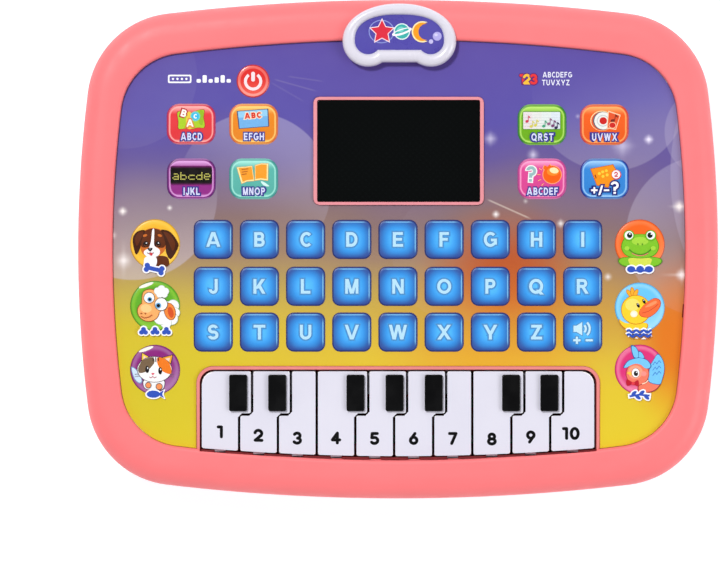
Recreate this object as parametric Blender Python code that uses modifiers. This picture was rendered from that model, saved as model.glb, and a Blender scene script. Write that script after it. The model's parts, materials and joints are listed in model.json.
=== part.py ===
"""Kids toy tablet: a two-shell case with a printed membrane keypad, a small lit screen, ten sprung piano keys,
a rear speaker and a battery bay for three AA cells behind a screwed door.

Lying on its back: +X is right, +Y is towards the badge, +Z is out of the face. The origin is the bottom centre.
Lengths below are in millimetres, and MM turns them into Blender's metres.
"""

import math

import bmesh
import bpy
from mathutils import Matrix, Vector

MM = 0.001
GAP = 0.3
MERGE = 0.00001
FLAT_ANGLE = math.radians(0.5)

# Case outline: half width, half height, side arc radius, end arc radius, corner radius.
CASE = (115.0, 89.6, 457.0, 703.0, 32.4)
TRAY = (103.0, 75.7, 419.0, 634.0, 22.5)
WALL = 2.0

# Heights above the surface the toy lies on.
FOOT_TOP, REAR_FACE, PARTING = 1.4, 1.2, 11.6
DECK_LOW, DECK_TOP = 20.3, 22.3
LIP_TOP, RIM_TOP = 24.6, 26.0
LOWER_FILM, SPACER_FILM = (22.4, 22.6), (22.7, 22.95)
UPPER_FILM, OVERLAY_FILM = (23.05, 23.25), (23.35, 23.85)
RIM_ROUNDING, REAR_ROUNDING = 7.0, 6.0

# Screen.
SCREEN_Y = 35.4
SCREEN_FRAME, SCREEN_GLASS, SCREEN_LIGHT = (61.4, 38.9), (58.4, 36.3), (54.0, 32.0)

# Printed keys on the overlay, which the contact holes in the spacer lie under.
LETTER_PITCH, LETTER_ROWS, LETTER_COLUMNS = 16.59, (3.5, -13.3, -29.7), 9
FUNCTION_X, FUNCTION_Y = (-74.0, -51.7, 51.7, 74.0), (44.5, 25.1)
ANIMAL_X, ANIMAL_Y = (-87.0, 86.6), (1.8, -20.6, -43.1)
POWER_KEY = (-51.9, 60.2)

# Piano.
KEY_GAP_CENTRES = (-56.9, -43.0, -29.1, -15.3, -1.4, 12.6, 26.6, 40.6, 54.5)
STRAIGHT_GAPS = (2, 6)
KEY_JOG, JOG_Y, HALF_KEY_GAP = 4.65, -59.2, 0.4
KEYS_LEFT, KEYS_RIGHT, KEYS_TOP = -70.3, 70.4, -43.6
KEY_TOP_Z, KEY_LOW_Z = 24.4, 20.0
FRONT_ARC_DEPTH, KEY_FRONT_Y, OPENING_FRONT_Y = 2.9, -74.1, -75.3
BLACK_KEYS = {1: -57.2, 2: -43.2, 4: -15.2, 5: -1.2, 6: 12.8, 8: 40.5, 9: 54.2}
BLACK_SIZE, BLACK_Y = (6.5, 13.1), -51.45
HINGE_Y, HINGE_Z = -40.5, 19.2

# Badge: two round lobes under an arch, with a flat notch between the lobes.
LOBE_X, LOBE_Y, LOBE_R = 11.2, 74.8, 9.15
ARCH_Y, ARCH_R, NOTCH_Y = 62.56, 25.74, 67.2
BADGE_BAND = 4.55

# Battery bay and door.
CELL_R, CELL_LENGTH, CELL_PITCH, CELL_Z = 7.1, 50.5, 15.0, 10.9
CELL_ROWS = (-28.25, -13.25, 1.75)
BAY_X, BAY_LOW_Y, BAY_HIGH_Y, BAY_CEILING = 28.0, -36.5, 10.0, 18.2
DOOR_X, DOOR_LOW_Y, DOOR_HIGH_Y, DOOR_INNER_Z = 31.5, -38.1, 18.6, 2.9
DOOR_SCREW_Y = 14.9
DOOR_AXIS = (-38.2, 1.2)
TAB_X, TAB_HALF = 18.0, 4.0

SPEAKER = (68.0, 30.0)
SCREWS = ((-92.0, 62.0), (92.0, 62.0), (-92.0, -60.0), (92.0, -60.0), (0.0, 79.0), (0.0, -82.0))
FEET = ((-76.0, 66.0), (76.0, 66.0), (-76.0, -66.0), (76.0, -66.0))
BOARD_POSTS = ((-81.0, -3.0), (-43.0, -3.0), (-81.0, 51.0), (-43.0, 47.0))


# ---- Scene and materials -------------------------------------------------------------------------------------


def clear_scene():
    for obj in list(bpy.data.objects):
        bpy.data.objects.remove(obj, do_unlink=True)


def new_collection(name):
    collection = bpy.data.collections.new(name)
    bpy.context.scene.collection.children.link(collection)
    return collection


clear_scene()
PARTS = new_collection("kids_toy_tablet")
CUTTERS = new_collection("cutters")
CUTTERS.hide_render = True


def material(name, colour, roughness, metallic=0.0):
    mat = bpy.data.materials.new(name)
    mat.use_nodes = True
    shader = mat.node_tree.nodes["Principled BSDF"]
    shader.inputs["Base Color"].default_value = (*colour, 1.0)
    shader.inputs["Roughness"].default_value = roughness
    shader.inputs["Metallic"].default_value = metallic
    mat.diffuse_color = (*colour, 1.0)
    return mat


PINK = material("pink_shell", (0.98, 0.25, 0.27), 0.3)
FILM = material("printed_film", (0.45, 0.32, 0.28), 0.35)
CLEAR_FILM = material("clear_film", (0.75, 0.78, 0.75), 0.25)
BLACK = material("black_plastic", (0.02, 0.02, 0.025), 0.3)
WHITE = material("white_plastic", (0.9, 0.9, 0.9), 0.3)
PURPLE = material("purple_label", (0.3, 0.18, 0.6), 0.35)
BOARD = material("circuit_board", (0.05, 0.3, 0.12), 0.5)
SILICONE = material("silicone", (0.75, 0.75, 0.72), 0.7)
STEEL = material("steel", (0.7, 0.7, 0.72), 0.3, 1.0)
RUBBER = material("rubber", (0.05, 0.05, 0.05), 0.85)
CELL = material("cell_sleeve", (0.1, 0.35, 0.15), 0.35)
PAPER = material("speaker_paper", (0.08, 0.08, 0.08), 0.8)
RED_WIRE = material("red_wire", (0.8, 0.05, 0.05), 0.45)
BLACK_WIRE = material("black_wire", (0.03, 0.03, 0.03), 0.45)


# ---- Outlines, as lists of (x, y) ----------------------------------------------------------------------------


def arc(centre, radius, start, end, steps):
    """Points from angle start to angle end, in degrees, both included."""
    angles = [math.radians(start + (end - start) * i / steps) for i in range(steps + 1)]
    return [(centre[0] + radius * math.cos(a), centre[1] + radius * math.sin(a)) for a in angles]


def bulged_outline(shape, inset=0.0):
    """A rectangle with shallow arcs for sides, joined by tangent corner arcs."""
    half_w, half_h, side_r, end_r, corner_r = (v - inset for v in shape)
    side, end = Vector((half_w - side_r, 0.0)), Vector((0.0, half_h - end_r))
    near, far = side_r - corner_r, end_r - corner_r
    between = end - side
    along = (between.length_squared + near**2 - far**2) / (2 * between.length)
    across = math.sqrt(near**2 - along**2)
    direction = between.normalized()
    normal = Vector((-direction.y, direction.x))
    corner = max((side + direction * along + normal * s * across for s in (-1, 1)), key=lambda p: p.x + p.y)
    low = math.degrees(math.atan2(corner.y - side.y, corner.x - side.x))
    high = math.degrees(math.atan2(corner.y - end.y, corner.x - end.x))
    quarter = arc(side, side_r, 0.0, low, 2)[:-1]
    quarter += arc(corner, corner_r, low, high, 6)[:-1]
    quarter += arc(end, end_r, high, 90.0, 3)
    half = quarter + [(-x, y) for x, y in reversed(quarter[:-1])]
    return half + [(x, -y) for x, y in reversed(half[1:-1])]


def rounded_rectangle(x, y, width, height, radius, steps=2):
    points = []
    for quadrant, (sx, sy) in enumerate(((1, 1), (-1, 1), (-1, -1), (1, -1))):
        centre = (x + sx * (width / 2 - radius), y + sy * (height / 2 - radius))
        points += arc(centre, radius, 90.0 * quadrant, 90.0 * quadrant + 90.0, steps)
    return points


def rectangle(x_low, x_high, y_low, y_high):
    return [(x_low, y_low), (x_high, y_low), (x_high, y_high), (x_low, y_high)]


def badge_outline(inset):
    lobe_r, notch = LOBE_R - inset, NOTCH_Y + inset
    start = -180.0 + math.degrees(math.asin((LOBE_Y - notch) / lobe_r))
    meet = math.degrees(math.atan2(LOBE_Y - ARCH_Y, LOBE_X))
    right = arc((LOBE_X, LOBE_Y), lobe_r, start, meet, 9)
    right += arc((0.0, ARCH_Y), ARCH_R - inset, meet, 90.0, 4)[1:]
    return right + [(-x, y) for x, y in reversed(right[:-1])]


def front_arc(front_y, x):
    """The piano's front edge curves, and is lowest at the centre."""
    return front_y + FRONT_ARC_DEPTH * (x / KEYS_RIGHT) ** 2


def key_outline(number):
    """A white key, whose sides step to the right above JOG_Y where a black key needs the room."""
    first, last = number == 1, number == 10
    left = KEYS_LEFT if first else KEY_GAP_CENTRES[number - 2] + HALF_KEY_GAP
    right = KEYS_RIGHT if last else KEY_GAP_CENTRES[number - 1] - HALF_KEY_GAP
    left_jog = 0.0 if first or number - 2 in STRAIGHT_GAPS else KEY_JOG
    right_jog = 0.0 if last or number - 1 in STRAIGHT_GAPS else KEY_JOG
    front = [left + (right - left) * i / 3 for i in range(4)]
    points = [(x, front_arc(KEY_FRONT_Y, x)) for x in front]
    if right_jog:
        points += [(right, JOG_Y + HALF_KEY_GAP), (right + right_jog, JOG_Y + HALF_KEY_GAP)]
    points += corner_cut(right + right_jog, KEYS_TOP, -1) if last else [(right + right_jog, KEYS_TOP)]
    points += corner_cut(left + left_jog, KEYS_TOP, 1) if first else [(left + left_jog, KEYS_TOP)]
    if left_jog:
        points += [(left + left_jog, JOG_Y - HALF_KEY_GAP), (left, JOG_Y - HALF_KEY_GAP)]
    return points


def corner_cut(x, y, side, radius=4.5):
    """The rounded outer corner of the first or last key, anticlockwise; side is +1 on the left."""
    start = 90.0 if side > 0 else 0.0
    return arc((x + side * radius, y - radius), radius, start, start + 90.0, 3)


def key_centre(number):
    left = KEYS_LEFT if number == 1 else KEY_GAP_CENTRES[number - 2]
    right = KEYS_RIGHT if number == 10 else KEY_GAP_CENTRES[number - 1]
    return (left + right) / 2


def piano_outline(x_left, x_right, y_top, corner, front_y):
    front = [x_left + (x_right - x_left) * i / 8 for i in range(9)]
    points = [(x, front_arc(front_y, x)) for x in front]
    points += arc((x_right - corner, y_top - corner), corner, 0.0, 90.0, 3)
    points += arc((x_left + corner, y_top - corner), corner, 90.0, 180.0, 3)
    return points


# ---- Solids --------------------------------------------------------------------------------------------------


def finish(name, mesh, mat, location=(0.0, 0.0, 0.0)):
    """Adds a node, or a cutter where no material is given."""
    obj = bpy.data.objects.new(name, mesh)
    obj.location = Vector(location) * MM
    if mat is None:
        CUTTERS.objects.link(obj)
        obj.hide_render = True
        obj.display_type = "WIRE"
    else:
        PARTS.objects.link(obj)
        mesh.materials.append(mat)
    return obj


def plates(name, outlines, z_low, z_high, mat=None):
    """A flat piece from closed outlines. An outline inside another is a hole."""
    curve = bpy.data.curves.new(name, "CURVE")
    curve.dimensions = "2D"
    curve.fill_mode = "BOTH"
    curve.extrude = (z_high - z_low) / 2 * MM
    for outline in outlines:
        spline = curve.splines.new("POLY")
        spline.points.add(len(outline) - 1)
        for point, (x, y) in zip(spline.points, outline):
            point.co = (x * MM, y * MM, 0.0, 1.0)
        spline.use_cyclic_u = True
    source = bpy.data.objects.new(name, curve)
    PARTS.objects.link(source)
    mesh = bpy.data.meshes.new_from_object(source.evaluated_get(bpy.context.evaluated_depsgraph_get()))
    bpy.data.objects.remove(source)
    work = bmesh.new()
    work.from_mesh(mesh)
    bmesh.ops.remove_doubles(work, verts=work.verts, dist=MERGE)
    bmesh.ops.recalc_face_normals(work, faces=work.faces)
    work.to_mesh(mesh)
    work.free()
    mesh.materials.clear()
    return finish(name, mesh, mat, (0.0, 0.0, (z_low + z_high) / 2))


def boxes(name, extents, mat=None):
    """One piece from boxes, each (x_low, x_high, y_low, y_high, z_low, z_high)."""
    work = bmesh.new()
    for x_low, x_high, y_low, y_high, z_low, z_high in extents:
        middle = Vector((x_low + x_high, y_low + y_high, z_low + z_high)) / 2 * MM
        size = Matrix.Diagonal(((x_high - x_low) * MM, (y_high - y_low) * MM, (z_high - z_low) * MM, 1.0))
        bmesh.ops.create_cube(work, size=1.0, matrix=Matrix.Translation(middle) @ size)
    return from_bmesh(name, work, mat)


def cylinders(name, places, radius, z_low, z_high, mat=None, segments=12, top_radius=None):
    """One piece from upright cylinders or cones that share a size."""
    work = bmesh.new()
    for x, y in places:
        bmesh.ops.create_cone(
            work,
            cap_ends=True,
            segments=segments,
            radius1=radius * MM,
            radius2=(radius if top_radius is None else top_radius) * MM,
            depth=(z_high - z_low) * MM,
            matrix=Matrix.Translation(Vector((x, y, (z_low + z_high) / 2)) * MM),
        )
    return from_bmesh(name, work, mat)


def from_bmesh(name, work, mat):
    mesh = bpy.data.meshes.new(name)
    work.to_mesh(mesh)
    work.free()
    return finish(name, mesh, mat)


def turned(name, profile, mat, location, steps=12, along_x=0):
    """A turned piece: profile is (radius, height) from the top of the axis, down the outside, to the bottom."""
    mesh = bpy.data.meshes.new(name)
    points = [(r * MM, 0.0, z * MM) for r, z in profile]
    mesh.from_pydata(points, [(i, i + 1) for i in range(len(points) - 1)], [])
    obj = finish(name, mesh, mat, location)
    if along_x:
        obj.rotation_euler = (0.0, along_x * math.pi / 2, 0.0)
    screw = obj.modifiers.new("Screw", "SCREW")
    screw.steps = steps
    screw.render_steps = steps
    screw.use_merge_vertices = True
    screw.merge_threshold = MERGE
    screw.use_smooth_shade = False
    return obj


def wire(name, points, radius, mat):
    """A lead through its own points, rounded by a Bezier spline's automatic handles."""
    curve = bpy.data.curves.new(name, "CURVE")
    curve.dimensions = "3D"
    curve.bevel_depth = radius * MM
    curve.bevel_resolution = 1
    curve.resolution_u = 3
    curve.use_fill_caps = True
    spline = curve.splines.new("BEZIER")
    spline.bezier_points.add(len(points) - 1)
    for point, place in zip(spline.bezier_points, points):
        point.co = Vector(place) * MM
        point.handle_left_type = "AUTO"
        point.handle_right_type = "AUTO"
    obj = bpy.data.objects.new(name, curve)
    PARTS.objects.link(obj)
    curve.materials.append(mat)
    return obj


def combine(obj, other, operation):
    boolean = obj.modifiers.new(other.name, "BOOLEAN")
    boolean.operation = operation
    boolean.object = other
    boolean.solver = "EXACT"


def cut(obj, *others):
    for other in others:
        combine(obj, other, "DIFFERENCE")


def join(obj, *others):
    for other in others:
        combine(obj, other, "UNION")


def round_level(obj, z, width, segments):
    """Rounds the edges that lie in the level plane z, by bevel weight, with the flat faces made whole first."""
    mesh = obj.data
    work = bmesh.new()
    work.from_mesh(mesh)
    bmesh.ops.dissolve_limit(work, angle_limit=FLAT_ANGLE, verts=work.verts, edges=work.edges)
    work.to_mesh(mesh)
    work.free()
    level = z * MM - obj.location.z
    weights = mesh.attributes.new("bevel_weight_edge", "FLOAT", "EDGE")
    owners = {}
    for polygon in mesh.polygons:
        for key in polygon.edge_keys:
            owners.setdefault(key, []).append(polygon.normal)
    for edge in mesh.edges:
        flat = all(abs(mesh.vertices[v].co.z - level) < MERGE for v in edge.vertices)
        normals = owners[edge.key]
        weights.data[edge.index].value = float(flat and abs(normals[0].dot(normals[1])) < 0.5)
    bevel = obj.modifiers.new("Bevel", "BEVEL")
    bevel.limit_method = "WEIGHT"
    bevel.width = width * MM
    bevel.segments = segments


def hang_on(axis_name, axis_point, *objs):
    """Parents a moving body's nodes to an empty on its joint's axis."""
    empty = bpy.data.objects.new(axis_name, None)
    empty.location = Vector(axis_point) * MM
    PARTS.objects.link(empty)
    for obj in objs:
        obj.parent = empty
        obj.location = obj.location - empty.location


# ---- Shells --------------------------------------------------------------------------------------------------


def build_front_shell():
    shell = plates("front_shell", [bulged_outline(CASE)], PARTING + GAP / 2, RIM_TOP, PINK)
    round_level(shell, RIM_TOP, RIM_ROUNDING, 4)
    cut(shell, plates("tray", [bulged_outline(TRAY)], DECK_TOP, RIM_TOP + 1))
    cut(shell, plates("front_cavity", [bulged_outline(CASE, WALL)], PARTING - 1, DECK_LOW))
    lips = plates("lips", [rounded_rectangle(0, SCREEN_Y, *SCREEN_FRAME, 2.0)], DECK_TOP - 1, LIP_TOP)
    piano_lip = plates("piano_lip", [piano_outline(-72.7, 72.6, -41.6, 5.9, -77.5)], DECK_TOP - 1, LIP_TOP)
    seat = plates("badge_seat", [badge_outline(0.8)], DECK_TOP - 1, RIM_TOP - 0.1)
    join(shell, lips, piano_lip, seat)
    join(shell, cylinders("front_bosses", SCREWS, 3.4, PARTING + 1, DECK_LOW + 1))
    cut(shell, plates("screen_rebate", [rectangle(-29.5, 29.5, SCREEN_Y - 18.5, SCREEN_Y + 18.5)], DECK_TOP, 27))
    light_x, light_y = SCREEN_LIGHT[0] / 2, SCREEN_LIGHT[1] / 2
    light = rectangle(-light_x, light_x, SCREEN_Y - light_y, SCREEN_Y + light_y)
    cut(shell, plates("screen_light", [light], DECK_LOW - 1, DECK_TOP + 1))
    cut(shell, plates("piano_opening", [piano_outline(-71.0, 71.1, -43.1, 4.9, OPENING_FRONT_Y)], 19, 28))
    cut(shell, boxes("keypad_tail_slot", [(-74, -50, 55, 57, DECK_LOW - 1, DECK_TOP + 1)]))
    cut(shell, cylinders("front_screw_holes", SCREWS, 1.6, PARTING - 1, 18.5, segments=8))


def build_rear_shell():
    shell = plates("rear_shell", [bulged_outline(CASE)], REAR_FACE, PARTING - GAP / 2, PINK)
    round_level(shell, REAR_FACE, REAR_ROUNDING, 3)
    floor = REAR_FACE + WALL
    cut(shell, plates("rear_cavity", [bulged_outline(CASE, WALL)], floor, PARTING + 1))
    join(
        shell,
        boxes("door_ledge", [(-34.0, 34.0, -41.5, 21.0, floor - 1, floor + WALL)]),
        boxes("bay_walls", [(-30.0, 30.0, BAY_LOW_Y - WALL, BAY_HIGH_Y + WALL, floor, BAY_CEILING + 1.2)]),
        cylinders("rear_bosses", SCREWS, 4.2, floor - 1, PARTING + 0.6),
        cylinders("door_boss", [(0.0, DOOR_SCREW_Y + 0.2)], 3.6, floor, 10.5),
        cylinders("board_posts", BOARD_POSTS, 2.0, floor - 1, 7.7, segments=8),
    )
    cut(
        shell,
        boxes("bay", [(-BAY_X, BAY_X, BAY_LOW_Y, BAY_HIGH_Y, 0, BAY_CEILING)]),
        boxes("door_recess", [(-32.0, 32.0, DOOR_LOW_Y - 0.4, 19.1, 0, floor)]),
        boxes("tab_slots", [(x - 5, x + 5, -43.0, BAY_LOW_Y + 1, floor, 7.0) for x in (-TAB_X, TAB_X)]),
        cylinders("door_screw_hole", [(0.0, DOOR_SCREW_Y + 0.4)], 2.4, 0, 9.5, segments=10),
        cylinders("head_recesses", SCREWS, 3.1, 0, 6.0, segments=10),
        cylinders("rear_screw_holes", SCREWS, 1.6, 0, PARTING + 2, segments=8),
        cylinders("foot_recesses", FEET, 5.4, 0, REAR_FACE + 0.5),
        plates("grille", grille_slots(), 0, floor + 1),
    )


def grille_slots():
    x, y = SPEAKER
    slots = []
    for row in range(-3, 4):
        half = math.sqrt(16.5**2 - (row * 4.4) ** 2)
        slots.append(rounded_rectangle(x, y + row * 4.4, 2 * half, 2.0, 0.99, 1))
    return slots


def build_feet_and_screws():
    for number, (x, y) in enumerate(FEET, 1):
        cylinders(f"foot_{number}", [(x, y)], 5.0, 0.0, FOOT_TOP, RUBBER)
    profile = [(0, 12.5), (1.0, 12.5), (1.3, 11.5), (1.3, 0), (2.7, 0), (2.7, -1.4), (0, -1.4)]
    for number, (x, y) in enumerate(SCREWS, 1):
        turned(f"case_screw_{number}", profile, STEEL, (x, y, 5.7), steps=10)


# ---- Keypad, screen and badge --------------------------------------------------------------------------------


def key_places():
    """The centre of every printed key that closes a contact."""
    places = [((c - 4) * LETTER_PITCH, y) for y in LETTER_ROWS for c in range(LETTER_COLUMNS)]
    places += [(x, y) for x in FUNCTION_X for y in FUNCTION_Y]
    places += [(x, y) for x in ANIMAL_X for y in ANIMAL_Y]
    return places + [POWER_KEY]


def build_keypad():
    screen_hole = rounded_rectangle(0, SCREEN_Y, SCREEN_FRAME[0] + 2 * GAP, SCREEN_FRAME[1] + 2 * GAP, 2.3)
    piano_room = plates("piano_room", [piano_outline(-73.0, 72.9, -41.3, 6.2, -95.0)], 22, 25)
    badge_room = plates("badge_room", [badge_outline(0.4)], 22, 25)
    # Each six-sided hole is turned a little from the last, so that no two share a line.
    contacts = [arc(place, 3.0, 17.0 * i, 17.0 * i + 300.0, 5) for i, place in enumerate(key_places())]
    layers = (
        ("keypad_lower_film", LOWER_FILM, [], CLEAR_FILM),
        ("keypad_spacer_film", SPACER_FILM, contacts, CLEAR_FILM),
        ("keypad_upper_film", UPPER_FILM, [], CLEAR_FILM),
        ("overlay_film", OVERLAY_FILM, [], FILM),
    )
    for name, (z_low, z_high), holes, mat in layers:
        film = plates(name, [bulged_outline(TRAY, 0.4), screen_hole, *holes], z_low, z_high, mat)
        cut(film, piano_room, badge_room)
        if name == "keypad_lower_film":
            join(film, boxes("tail", [(-73, -51, 55.8, 56.2, 15.3, 22.5)]))


def build_screen():
    half_w, half_h = SCREEN_GLASS[0] / 2, SCREEN_GLASS[1] / 2
    glass = (-half_w, half_w, SCREEN_Y - half_h, SCREEN_Y + half_h, DECK_TOP + GAP, 24.0)
    boxes("screen_window", [glass], BLACK)
    boxes("led_matrix", [(-26.0, 26.0, SCREEN_Y - 15, SCREEN_Y + 15, 14.5, 20.0)], WHITE)
    boxes("display_board", [(-31.0, 31.0, SCREEN_Y - 20, SCREEN_Y + 20, 12.6, 14.2)], BOARD)


def build_badge():
    frame = plates("badge_frame", [badge_outline(0.0), badge_outline(BADGE_BAND)], RIM_TOP + 0.2, 28.8, WHITE)
    round_level(frame, 28.8, 1.2, 2)
    plates("badge_label", [badge_outline(BADGE_BAND + GAP)], RIM_TOP + 0.2, 27.2, PURPLE)


# ---- Piano ---------------------------------------------------------------------------------------------------


def build_piano_key(number):
    key = plates(f"white_key_{number}", [key_outline(number)], KEY_LOW_Z, KEY_TOP_Z, WHITE)
    round_level(key, KEY_TOP_Z, 0.6, 1)
    x = key_centre(number)
    front = front_arc(KEY_FRONT_Y, x)
    shift = 2.0
    tongue = (x + shift - 4.5, x + shift + 4.5, -52.0, HINGE_Y + 1.3, 18.4, 20.0)
    under = (x + shift - 4.5, x + shift + 4.5, -52.0, KEYS_TOP - 1.0, 19.0, KEY_LOW_Z + 1)
    tab = (x - 1.95, x + 1.95, front - 3.6, front + 4.0, 18.4, 20.0)
    tab_root = (x - 1.95, x + 1.95, front + 1.0, front + 4.0, 19.0, KEY_LOW_Z + 1)
    join(key, boxes(f"tongue_{number}", [tongue]), boxes(f"tongue_root_{number}", [under]))
    join(key, boxes(f"tab_{number}", [tab]), boxes(f"tab_root_{number}", [tab_root]))
    join(key, cylinders(f"plunger_{number}", [(x, -62.0)], 2.0, 18.9, KEY_LOW_Z + 1, segments=8))
    nodes = [key]
    if number in BLACK_KEYS:
        outline = rounded_rectangle(BLACK_KEYS[number], BLACK_Y, *BLACK_SIZE, 0.7, 1)
        nodes.append(plates(f"black_key_{number}", [outline], KEY_TOP_Z + GAP, 25.7, BLACK))
    hang_on(f"key_axis_{number}", (x, HINGE_Y, HINGE_Z), *nodes)


def build_piano():
    for number in range(1, 11):
        build_piano_key(number)
    boxes("piano_hinge_rail", [(-72.0, 72.0, -42.0, -39.0, 15.9, 18.0)], WHITE)
    boxes("piano_contact_board", [(-70.0, 70.0, -70.0, -54.0, 12.6, 14.2)], BOARD)
    strip = boxes("piano_dome_strip", [(-69.0, 69.0, -67.0, -57.0, 14.5, 15.3)], SILICONE)
    places = [(key_centre(number), -62.0) for number in range(1, 11)]
    join(strip, cylinders("domes", places, 3.6, 15.0, 17.0, segments=10, top_radius=2.2))


# ---- Electronics and batteries -------------------------------------------------------------------------------


def build_electronics():
    boxes("main_board", [(-84.0, -40.0, -6.0, 60.0, 8.0, 9.6)], BOARD)
    cylinders("voice_chip", [(-66.0, 18.0)], 8.0, 9.9, 11.6, BLACK, segments=16, top_radius=5.5)
    boxes("keypad_connector", [(-74.0, -50.0, 54.0, 58.0, 9.9, 15.0)], WHITE)
    x, y = SPEAKER
    basket = [(0, 15), (11, 15), (11, 9), (19.5, 6.0), (19.5, 3.6), (17.5, 3.6), (17.5, 5.6), (9, 8.2), (0, 8.2)]
    turned("speaker_frame", basket, STEEL, (x, y, 0), steps=20)
    cone = [(0, 6.6), (8, 6.6), (17.0, 4.6), (17.0, 3.9), (7.5, 5.6), (0, 5.6)]
    turned("speaker_cone", cone, PAPER, (x, y, 0), steps=20)
    speaker_route = [(56, 30, 12.0), (46, 29, 10.8), (20, 29, 10.4), (-20, 29, 10.4), (-34, 29, 10.4), (-42, 29, 10.6)]
    wire("speaker_lead", speaker_route, 0.6, BLACK_WIRE)
    wire("display_cable", [(-32.3, 46, 13.4), (-35, 46, 13.2), (-38, 46, 11.6), (-42, 46, 10.9)], 0.9, WHITE)


def cell_profile():
    half = CELL_LENGTH / 2
    return [(0, half), (2.7, half), (2.7, half - 1.2), (CELL_R, half - 1.2), (CELL_R, -half), (0, -half)]


def build_batteries():
    contact_x = BAY_X - 0.3
    cell_x = contact_x - 0.4 - GAP - CELL_LENGTH / 2
    for number, y in enumerate(CELL_ROWS, 1):
        side = -1 if number == 2 else 1
        turned(f"battery_cell_{number}", cell_profile(), CELL, (side * cell_x, y, CELL_Z), 14, along_x=side)
    spring_end = contact_x - 0.4 - GAP - (contact_x - 0.4 - cell_x - CELL_LENGTH / 2)
    low, middle, high = CELL_ROWS
    contact("contact_negative", -1, low, low, low)
    contact("contact_bridge_right", 1, low, middle, middle)
    contact("contact_bridge_left", -1, middle, high, high)
    contact("contact_positive", 1, high, high, None)
    wire("battery_lead_black", [(-31, -30, 13), (-36, -26, 13), (-41, -14, 12), (-44, -3, 11)], 0.6, BLACK_WIRE)
    red_route = [(31, 4, 13), (35, 9, 12), (36, 19, 9), (24, 24, 8), (-20, 24, 8), (-34, 22, 10), (-42, 21, 10.6)]
    wire("battery_lead_red", red_route, 0.6, RED_WIRE)


def contact(name, side, y_first, y_last, spring_y):
    """A spring-steel plate at one end of the bay, with a spring where it meets a cell's flat end."""
    outer, inner = side * (BAY_X - 0.3), side * (BAY_X - 0.7)
    low_x, high_x = min(outer, inner), max(outer, inner)
    plate = boxes(name, [(low_x, high_x, y_first - 5, y_last + 5, CELL_Z - 4.5, CELL_Z + 4.5)], STEEL)
    if spring_y is not None:
        length = 2 * BAY_X - 1.4 - CELL_LENGTH - 2 * GAP
        profile = [(0, length), (2.2, length), (3.6, 0), (3.6, -0.2), (0, -0.2)]
        spring = turned(f"{name}_spring", profile, None, (inner, spring_y, CELL_Z), 10, along_x=-side)
        join(plate, spring)


def build_battery_door():
    door = boxes("battery_door", [(-DOOR_X, DOOR_X, DOOR_LOW_Y, DOOR_HIGH_Y, REAR_FACE, DOOR_INNER_Z)], PINK)
    tabs = [(x - TAB_HALF, x + TAB_HALF, -41.0, -34.6, 3.5, 4.6) for x in (-TAB_X, TAB_X)]
    necks = [(x - TAB_HALF, x + TAB_HALF, -37.6, -34.6, 2.0, 4.0) for x in (-TAB_X, TAB_X)]
    join(door, boxes("door_necks", necks), boxes("door_tabs", tabs))
    place = [(0.0, DOOR_SCREW_Y)]
    cut(door, cylinders("door_counterbore", place, 2.9, 0, 2.2, segments=10))
    cut(door, cylinders("door_hole", place, 1.5, 0, 4, segments=8))
    profile = [(0, 6.0), (0.9, 6.0), (1.1, 5.2), (1.1, 0), (2.5, 0), (2.5, -0.6), (0, -0.6)]
    screw = turned("battery_door_screw", profile, STEEL, (0, DOOR_SCREW_Y, 1.9), steps=10)
    hang_on("door_axis", (0.0, *DOOR_AXIS), door)
    hang_on("door_screw_axis", (0.0, DOOR_SCREW_Y, 1.9), screw)


build_front_shell()
build_rear_shell()
build_feet_and_screws()
build_keypad()
build_screen()
build_badge()
build_piano()
build_electronics()
build_batteries()
build_battery_door()
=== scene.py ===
"""Looks of the kids toy tablet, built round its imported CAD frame.

The frame gives the heights of the nodes that these pieces replace. Lengths are millimetres in the frame's own
axes, +X right, +Y towards the badge and +Z out of the face, and MM turns them into Blender's metres.
"""

import json
import math

import bmesh
import bpy
from mathutils import Matrix, Vector
from mathutils.geometry import tessellate_polygon


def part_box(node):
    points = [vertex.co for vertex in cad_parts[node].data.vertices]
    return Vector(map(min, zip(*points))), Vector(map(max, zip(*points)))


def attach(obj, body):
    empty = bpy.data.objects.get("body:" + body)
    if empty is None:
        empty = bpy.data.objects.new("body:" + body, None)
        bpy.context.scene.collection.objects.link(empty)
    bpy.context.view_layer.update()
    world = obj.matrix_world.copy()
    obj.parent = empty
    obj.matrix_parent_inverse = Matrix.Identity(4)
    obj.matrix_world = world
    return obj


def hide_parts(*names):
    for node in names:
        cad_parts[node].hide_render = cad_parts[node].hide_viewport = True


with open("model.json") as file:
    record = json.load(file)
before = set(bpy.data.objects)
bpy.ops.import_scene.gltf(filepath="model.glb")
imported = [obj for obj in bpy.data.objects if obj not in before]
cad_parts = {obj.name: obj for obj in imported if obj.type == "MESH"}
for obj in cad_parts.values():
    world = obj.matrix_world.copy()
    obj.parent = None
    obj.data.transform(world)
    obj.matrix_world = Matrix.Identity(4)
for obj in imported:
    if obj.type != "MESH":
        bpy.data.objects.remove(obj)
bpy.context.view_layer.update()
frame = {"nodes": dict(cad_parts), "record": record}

MM = 0.001
BODY = "casing"


def top_of(node):
    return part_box(node)[1].z / MM


def bottom_of(node):
    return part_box(node)[0].z / MM


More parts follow.
